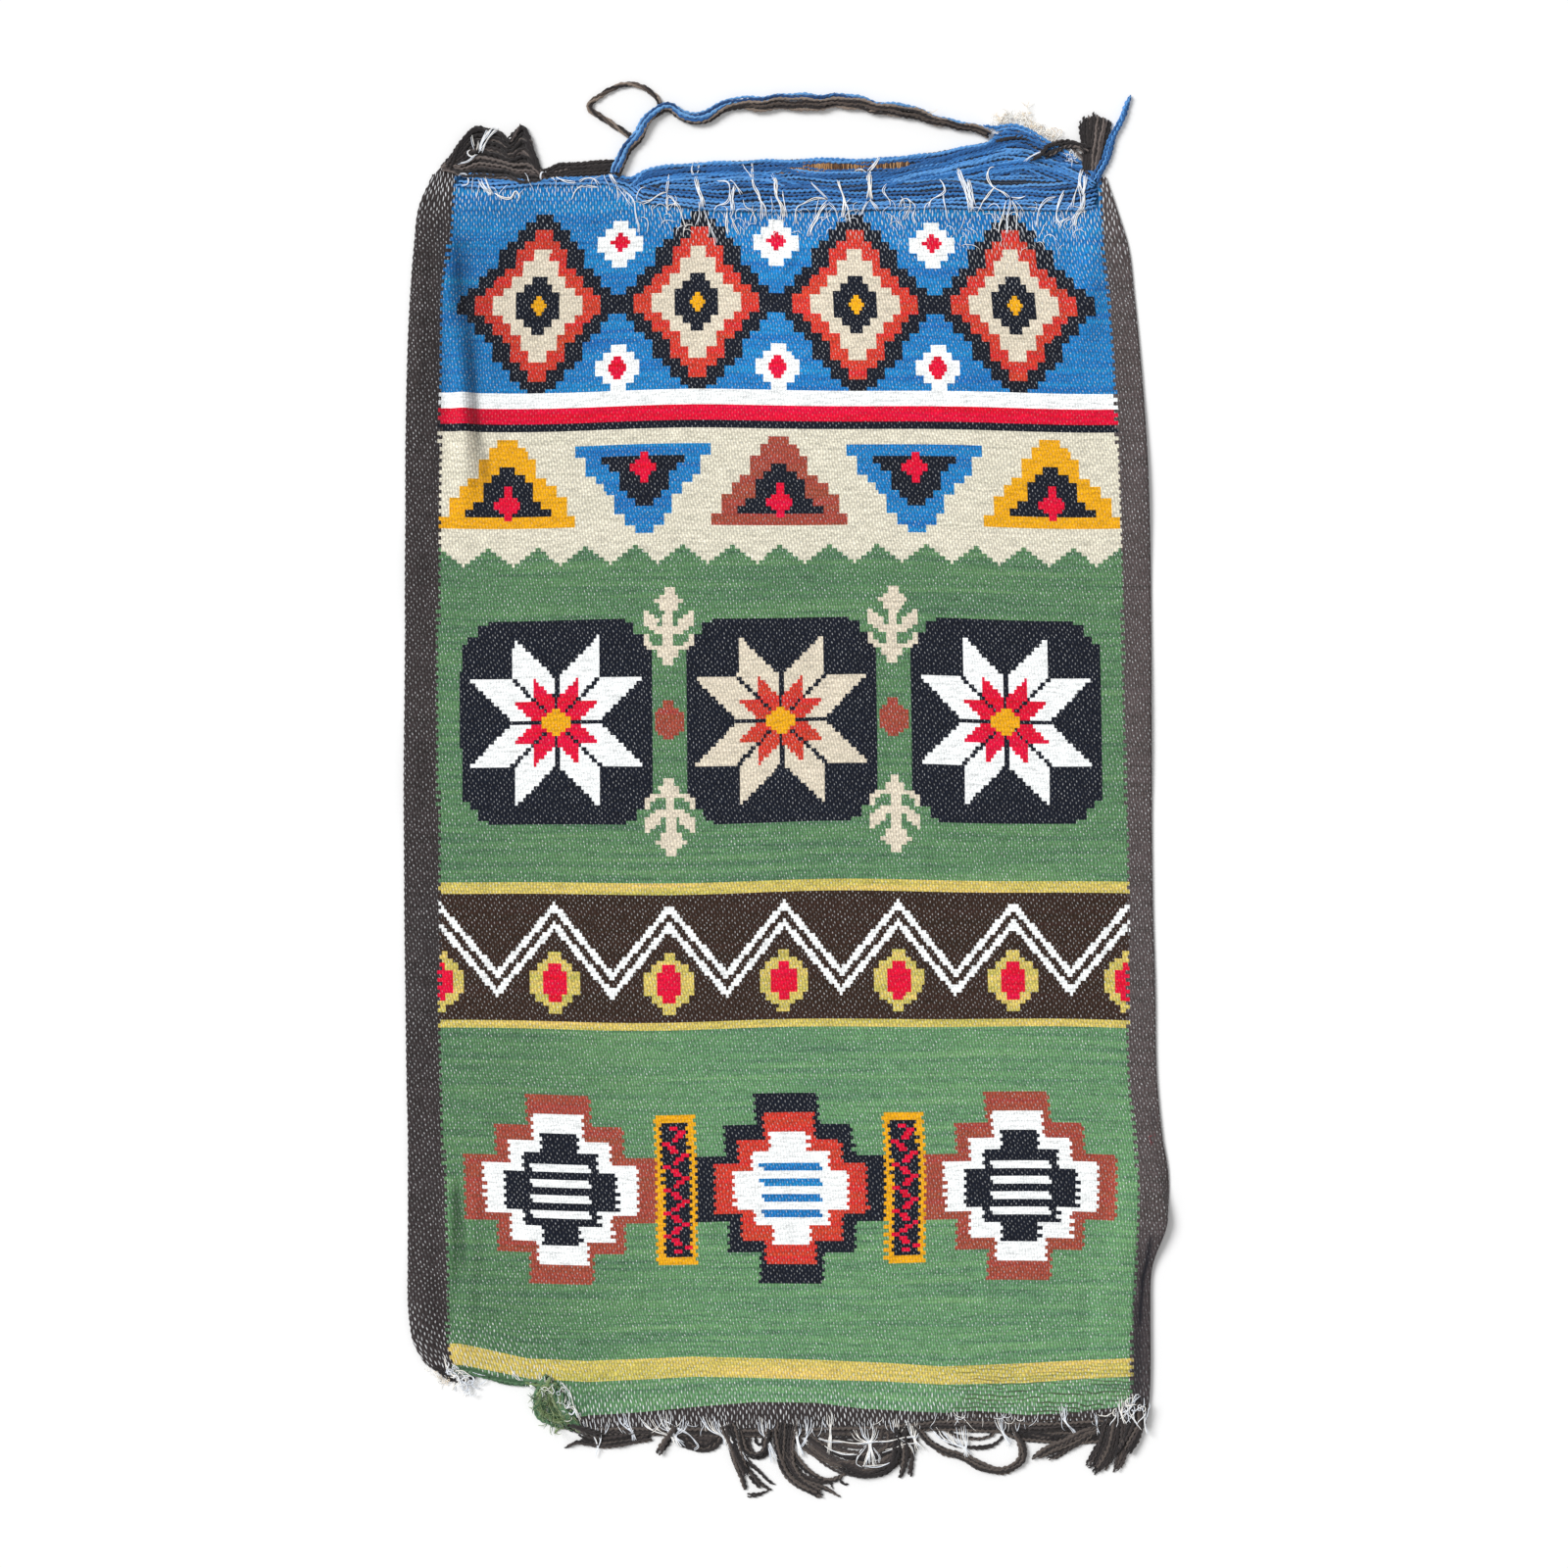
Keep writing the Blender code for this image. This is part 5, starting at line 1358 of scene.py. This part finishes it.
def add_loop(wool):
    """The thin brown yarn that leaves the bundle and comes back to it, slacker on its way back."""
    rng = np.random.default_rng(12)
    middle = cord_centreline(LOOP_ROUTE, LOOP_DIAMETER)
    s = run_lengths(middle)
    wide = 1.15 * (1 + 0.35 * smooth_step((s / s[-1] - 0.5) / 0.15))
    yarns = []
    for k in range(3):
        angle = s * 2 * math.pi / 34 + k * 2 * math.pi / 3
        points = middle + aside(middle) * (wide * np.cos(angle))[:, None]
        points[:, 2] += 0.75 * np.sin(angle)
        points = crimp(points, 0.2, rng.uniform(0, 6))
        yarns.append(Yarn(points, np.full(len(points), 1.15), BUNDLE_BROWNS[k]))
    made = yarn_object("loose_yarn_loop", yarns, wool, "brown_yarn")
    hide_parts("loose_loop")
    line = cord_centreline(LOOP_ROUTE, LOOP_DIAMETER, 3.0) * MM


def cloth_grid():
    """Arrays of the cloth's rows and columns: middle places, normals, flat places, and the rows in it."""
    columns = cloth_columns()
    row_y = np.arange(TOP_ROW, BOTTOM_ROW, -ROW_PITCH)
    shape = (len(row_y), len(columns))
    loose, held, flat = np.zeros((*shape, 3)), np.zeros((*shape, 3)), np.zeros((*shape, 2))
    kept = np.zeros(shape, int)
    for c, (zone, place) in enumerate(columns):
        flat_x = cloth_surface(zone, place, row_y)[2]
        y = row_heights(flat_x, row_y)
        x, z, flat_x = cloth_surface(zone, place, y)
        loose[:, c] = np.stack([x, y, z], axis=1)
        near = cloth_surface(zone, place, np.array([TOP_NEAR, BOTTOM_NEAR]))[0]
        top, bottom = straight_at(TOP_END, near[0]), straight_at(BOTTOM_END, near[1])
        inside = np.flatnonzero((y < top - 0.4 * ROW_PITCH) & (y > bottom + 0.4 * ROW_PITCH))
        first, last = inside[0] - 1, inside[-1] + 1
        kept[:, c] = np.clip(np.arange(len(row_y)), first, last)
        flat[:, c, 1] = row_y
        flat[first, c, 1] += top - y[first]
        flat[last, c, 1] += bottom - y[last]
        y[first], y[last] = top, bottom
        x, z, flat[:, c, 0] = cloth_surface(zone, place, y)
        held[:, c] = np.stack([x, y, z], axis=1)
    normals = unit(np.cross(np.gradient(loose, axis=0), np.gradient(loose, axis=1)))
    return held, normals, flat, kept, row_y


def cloth_faces(kept):
    """Faces over the rows that are in the cloth, and each face's row and column. Flat ones are left out."""
    rows, columns = kept.shape
    index = (kept * columns + np.arange(columns)).tolist()
    faces, cells = [], []
    for j, (upper, lower) in enumerate(zip(index, index[1:])):
        for c in range(columns - 1):
            a, b, f, e = upper[c], upper[c + 1], lower[c + 1], lower[c]
            if a == e and b == f:
                continue
            faces.append((e, b, a) if b == f else (e, f, b) if a == e else (e, f, b, a))
            cells.append((j, c))
    return faces, np.array(cells)


def rim_of(faces):
    """The directed edges that only one face has, and for each the number of that face."""
    seen = {}
    for number, face in enumerate(faces):
        for a, b in zip(face, face[1:] + face[:1]):
            if seen.pop((b, a), None) is None:
                seen[(a, b)] = number
    return seen


def cloth_unevenness(x, y):
    """Small swells of a hand-woven cloth."""
    swells = 0.45 * np.sin(x / 17 + 1.4 * np.sin(y / 55)) * np.sin(y / 37 + x / 90)
    return swells + 0.3 * np.sin(x / 47 - y / 33)


def slackness(x, y):
    """How far the weave has slackened, from 0 to 1 beside the loose ends."""
    from_top = (straight_at(TOP_WEAVE, x) - y) / straight_at(TOP_SLACK, x)
    end = np.where(x < NOTCH_SIDE, straight_at(BOTTOM_END, x), straight_at(BOTTOM_WEAVE, x))
    return np.clip(1 - np.minimum(from_top, (y - end) / BOTTOM_SLACK), 0, 1) ** 1.3


def bareness_and_shade(x, y, flat_x):
    """How far the weave is gone past its ends, and how deep the fold's shade is, from 0 to 1. Both darken
    the cloth with painted shade.
    """
    below = np.where(x < NOTCH_SIDE, -1.0, straight_at(BOTTOM_WEAVE, x) - y)
    gone = np.clip(np.maximum(y - straight_at(TOP_WEAVE, x), below) / 2, 0, 1)
    folded = FOLD_SHADE * smooth_step((-330 - y) / 60) * (x > 282)
    return np.where(np.abs(flat_x) > FIELD_HALF - 1, folded, gone)


def weft_courses(x, y, row_y):
    """How many columns' periods of the flecks each place is up from y = 0."""
    density = 1 / (FLECK_HEIGHT + (SLACK_HEIGHT - FLECK_HEIGHT) * slackness(x, y))
    steps = np.zeros(y.shape)
    steps[1:] = np.diff(y, axis=0) * (density[1:] + density[:-1]) / 2
    course = np.cumsum(steps, axis=0)
    middle = int(np.argmin(np.abs(row_y)))
    return course - course[middle] + y[middle] / FLECK_HEIGHT


def stitch_colours(stitch_x, row_y, rows, x, y):
    """Each face's dye: paler towards the lower right on green, with the painted light and shade of the broad
    patches, which is weaker on the pale dyes.
    """
    dyes = design(stitch_x, row_y[rows] - ROW_PITCH / 2, rows)
    colours = np.array([(*DYES[name].colour, DYES[name].heather) for name in DYE_NAMES])[dyes]
    paler = 0.34 * smooth_step((40 - row_y[rows]) / 300) * smooth_step((stitch_x + 230) / 200)
    colours[:, :3] *= 1 + np.where(dyes == DYE_NAMES.index("green"), paler, 0.0)[:, None]
    patch_light_and_shade = painted_patch_light_and_shade(x, y)
    plain = np.isin(dyes, [DYE_NAMES.index(name) for name in ("white", "beige", "cream")])
    colours[:, :3] *= 1 - np.where(plain, 0.3 * patch_light_and_shade, patch_light_and_shade)[:, None]
    return colours


def add_cloth():
    middle, normals, flat, kept, row_y = cloth_grid()
    rows, columns = kept.shape
    swell = cloth_unevenness(middle[..., 0], middle[..., 1]) * (normals[..., 2] > 0.3)
    middle[:, 0, 0] += np.where(np.arange(rows) % 2 == 0, SELVEDGE_STEP, -SELVEDGE_STEP)
    face_side = middle + normals * (CLOTH_THICKNESS / 2 + np.maximum(swell, -0.3)[..., None])
    under_side = middle - normals * CLOTH_THICKNESS / 2
    faces, cells = cloth_faces(kept)

    # The raw edges: each rim vertex gets one on the underside, and each rim edge a face between them.
    rim = rim_of(faces)
    rim_vertices = sorted({v for edge in rim for v in edge})
    under = {v: rows * columns + k for k, v in enumerate(rim_vertices)}
    faces += [(b, a, under[a], under[b]) for a, b in rim]
    cells = np.vstack([cells, cells[list(rim.values())]])
    places = np.vstack([face_side.reshape(-1, 3), under_side.reshape(-1, 3)[rim_vertices]])
    places[:, 2] = np.maximum(places[:, 2], 0.02)
    flat_x = flat[..., 0]
    flat = flat.reshape(-1, 2)
    outward = np.zeros_like(flat)
    for a, b in rim:
        run = flat[b] - flat[a]
        outward[[a, b]] += unit(np.array([run[1], -run[0]]))
    flat = np.vstack([flat, (flat + CLOTH_THICKNESS * unit(outward))[rim_vertices]])

    # Only the vertices that a face has are kept.
    used = np.unique(np.concatenate(faces))
    renumber = np.full(len(places), -1)
    renumber[used] = np.arange(len(used))
    faces = [tuple(renumber[list(face)].tolist()) for face in faces]
    places, flat = places[used], flat[used]
    j, c = cells.T
    stitch_x = (flat_x[j, c] + flat_x[j, c + 1]) / 2
    colours = stitch_colours(stitch_x, row_y, j, middle[j, c, 0], middle[j, c, 1])
    x, y = places[:, 0], places[:, 1]
    course = weft_courses(middle[..., 0], middle[..., 1], row_y).ravel()
    course = np.concatenate([course, course[rim_vertices]])[used]
    parted = smooth_step((x - 114) / 40) * smooth_step((-448 - y) / 40) * (x < 283)

    made = piece_object("woven_cloth", places, faces, woven_material())
    mesh = made.data
    add_values(mesh, "dye", colours, "FACE")
    add_values(mesh, "slack", slackness(x, y))
    add_values(mesh, "course", course)
    # Painted shade where the weave is gone under the loose wefts, and in the fold
    add_values(mesh, "bare_and_shade", bareness_and_shade(x, y, flat[:, 0]))
    # Painted shade along the creases
    add_values(mesh, "crease_shade", painted_crease_shade(x, y))
    add_values(mesh, "parted", parted)
    corners = np.zeros(len(mesh.loops), int)
    mesh.loops.foreach_get("vertex_index", corners)
    layer = mesh.uv_layers.new(name="OFBake")
    layer.data.foreach_set("uv", (flat[corners] / UV_SPAN + 0.5).astype(np.float32).ravel())
    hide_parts("cloth")
    return made


def add_fringes(wool, cotton):
    """The loosened wefts, the frayed warp ends and the fluff."""
    rng = np.random.default_rng(21)
    pieces = []

    def piece(name, yarns, slot, node=None, **shape):
        made = yarn_object(name, yarns, cotton if slot == "warp_cotton" else wool, slot, **shape)
        if node:
            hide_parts(node)
        pieces.append(made)

    yarns = sheaf_yarns(MASS_LOW, MASS_TOP, (-282, -196), 16, BROWN_YARNS, rng)
    yarns += under_yarns(MASS_LOW, MASS_TOP, (-275, -200), SHADED_BROWN_YARNS, rng)
    yarns += sheaf_yarns(MASS_LOW, MASS_TOP, (-276, -199), 9, BROWN_YARNS, rng, 1.3, lift=1.5)
    yarns += strand_yarns(CURLS, BROWN_YARNS, rng, cover=1.3, layer=1.8)
    yarns += band_yarns(STRIP_LOW, STRIP_HIGH, (-204, -138), BROWN_YARNS, rng, bow=0.4)
    yarns += under_yarns(STRIP_LOW, STRIP_HIGH, (-203, -139), SHADED_BROWN_YARNS, rng)
    piece("top_left_brown_wefts", yarns, "brown_yarn", "top_left_fringe")

    *upper, pointed = TOP_STRANDS
    yarns = strand_yarns(upper, BLUE_YARNS, rng, cover=1.2, layer=0.9, fewest=1)
    yarns += strand_yarns([pointed], BLUE_YARNS, rng, cover=1.6, layer=0.9, fewest=1)
    piece("top_blue_wefts", yarns, "blue_yarn", "top_fringe")
    # The blue wefts underneath are dark with painted shade, which shows in the gaps between the loose blue
    # wefts
    yarns = under_yarns(TOP_WEAVE, BLUE_TOP, (-124, 250), SHADED_BLUE_YARNS, rng, 2.1, -0.7)
    piece("shaded_blue_wefts", yarns, "blue_yarn", sides=4)
    piece("ochre_threads", upright_threads(OCHRE_PATCHES, OCHRE_YARNS, rng), "brown_yarn", sides=6)
    yarns = band_yarns(TOP_WEAVE, BLUE_TOP, (-270, 254), BLUE_YARNS, rng, 3.0, 1.3, 0.3, SLITS)
    yarns += band_yarns(HUMP_LOW, HUMP_HIGH, (168, 241), BLUE_YARNS, rng, 3.0, 0.9, 2.0, HUMP_SLITS)
    yarns += strand_yarns(HUMP_TIP, BLUE_YARNS, rng, layer=2.0)
    piece("loose_blue_wefts", yarns, "blue_yarn", sides=6)

    yarns = strand_yarns(TOP_RIGHT_STRANDS, BROWN_YARNS, rng, cover=1.1, layer=0.8)
    yarns += fan_yarns((248, 508), 7.5, (254, 557), 12.5, 11, BROWN_YARNS, rng, 1.3)
    yarns += fan_yarns((248, 511), 6.5, (253, 556), 10.5, 8, BROWN_YARNS, rng, 1.2, lift=1.6)
    yarns += strand_yarns(ARM_STRANDS, BROWN_YARNS, rng, cover=1.1, lead=0.0, layer=2.2)
    yarns += strand_yarns(TUFT_ARM, BROWN_YARNS, rng, cover=1.1, layer=3.4)
    piece("top_right_brown_tuft", yarns, "brown_yarn", "top_right_tuft")

    yarns = strand_yarns(BOTTOM_STRANDS, DARK_YARNS, rng, cover=1.25)
    piece("bottom_brown_wefts", yarns, "brown_yarn", "bottom_fringe")
    yarns = band_yarns(BAND_LOW, BOTTOM_WEAVE, (-168, 285), DARK_YARNS, rng)
    yarns += under_yarns(BAND_LOW, BOTTOM_WEAVE, (-166, 283), SHADED_BROWN_YARNS, rng)
    for low, high in SWAGS[:2]:
        yarns += under_yarns(low, high, (low[0][0] + 2, low[-1][0] - 2), SHADED_BROWN_YARNS, rng)
    yarns += strand_yarns(CORNER, DARK_YARNS, rng, cover=1.0, layer=2.6)
    yarns += strand_yarns(CORES, DARK_YARNS, rng, cover=1.0)
    for low, high in SWAGS:
        ends = (low[0][0], low[-1][0])
        yarns += band_yarns(low, high, ends, DARK_YARNS, rng, slits=SWAG_SLITS, parting=0.8)
    piece("loose_brown_wefts", yarns, "brown_yarn", sides=6)

    yarns = strand_yarns(GREEN_STRANDS, GREEN_YARNS, rng, cover=1.3)
    yarns += strand_yarns(GREEN_CORES, GREEN_YARNS, rng, cover=1.1)
    yarns += curly_fibres(GREEN_TANGLES, rng)
    yarns += strand_yarns(EDGE_STRANDS, GREEN_YARNS, rng, cover=1.1, lead=2.0)
    piece("green_frayed_yarn", yarns, "green_yarn", "green_fray")

    threads = warp_threads(WARPS + GREEN_WARPS, rng) + gather_threads(GATHERS, rng)
    threads += stray_threads(TOP_WEAVE, -262, 254, 7.0, 1, rng)
    threads += stray_threads(TOP_WEAVE, -120, 250, 7.0, 1, rng, (8, 24), 0.17)
    threads += stray_threads(TOP_WEAVE, 90, 250, 6.0, 1, rng, (12, 40), 0.17)
    threads += stray_threads(BOTTOM_WEAVE, -164, 282, 7.0, -1, rng)
    piece("frayed_warp_ends", threads, "warp_cotton", sides=6, lobes=0.1)
    piece("cream_fluff", curly_fibres(TANGLES, rng), "warp_cotton", sides=4, lobes=0.0)
    return pieces


def add_floor():
    corners = ((-1, -1), (1, -1), (1, 1), (-1, 1))
    places = [(x * FLOOR_HALF, y * FLOOR_HALF, FLOOR_DEPTH) for x, y in corners]
    made = mesh_object("floor", places, [(0, 1, 2, 3)], floor_material())
    return made


def add_lights():
    """An even white sky, and a broad soft light from the upper left."""
    world = bpy.data.worlds.new("studio")
    world.use_nodes = True
    background = world.node_tree.nodes["Background"]
    background.inputs["Color"].default_value = (1.0, 1.0, 1.0, 1.0)
    background.inputs["Strength"].default_value = 0.5
    bpy.context.scene.world = world
    data = bpy.data.lights.new("key", "SUN")
    data.energy = 2.6
    data.angle = math.radians(28)
    made = new_object("key", data)
    made.rotation_mode = "QUATERNION"
    made.rotation_quaternion = Vector(LIGHT_COURSE).to_track_quat("-Z", "Y")
    bpy.context.scene.view_settings.view_transform = "Standard"


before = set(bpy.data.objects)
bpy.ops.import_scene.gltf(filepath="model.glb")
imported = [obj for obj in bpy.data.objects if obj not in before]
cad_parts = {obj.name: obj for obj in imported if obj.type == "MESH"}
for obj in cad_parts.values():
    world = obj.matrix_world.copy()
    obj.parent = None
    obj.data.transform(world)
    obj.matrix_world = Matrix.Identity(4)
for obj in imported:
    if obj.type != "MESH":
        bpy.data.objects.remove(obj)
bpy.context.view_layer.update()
add_camera()
wool = yarn_material("spun_wool")
cotton = yarn_material("warp_cotton", 0.85, 0.1, 0.12)
add_bundle(wool)
add_loop(wool)
cloth = add_cloth()
fringes = add_fringes(wool, cotton)
floor = add_floor()
add_lights()
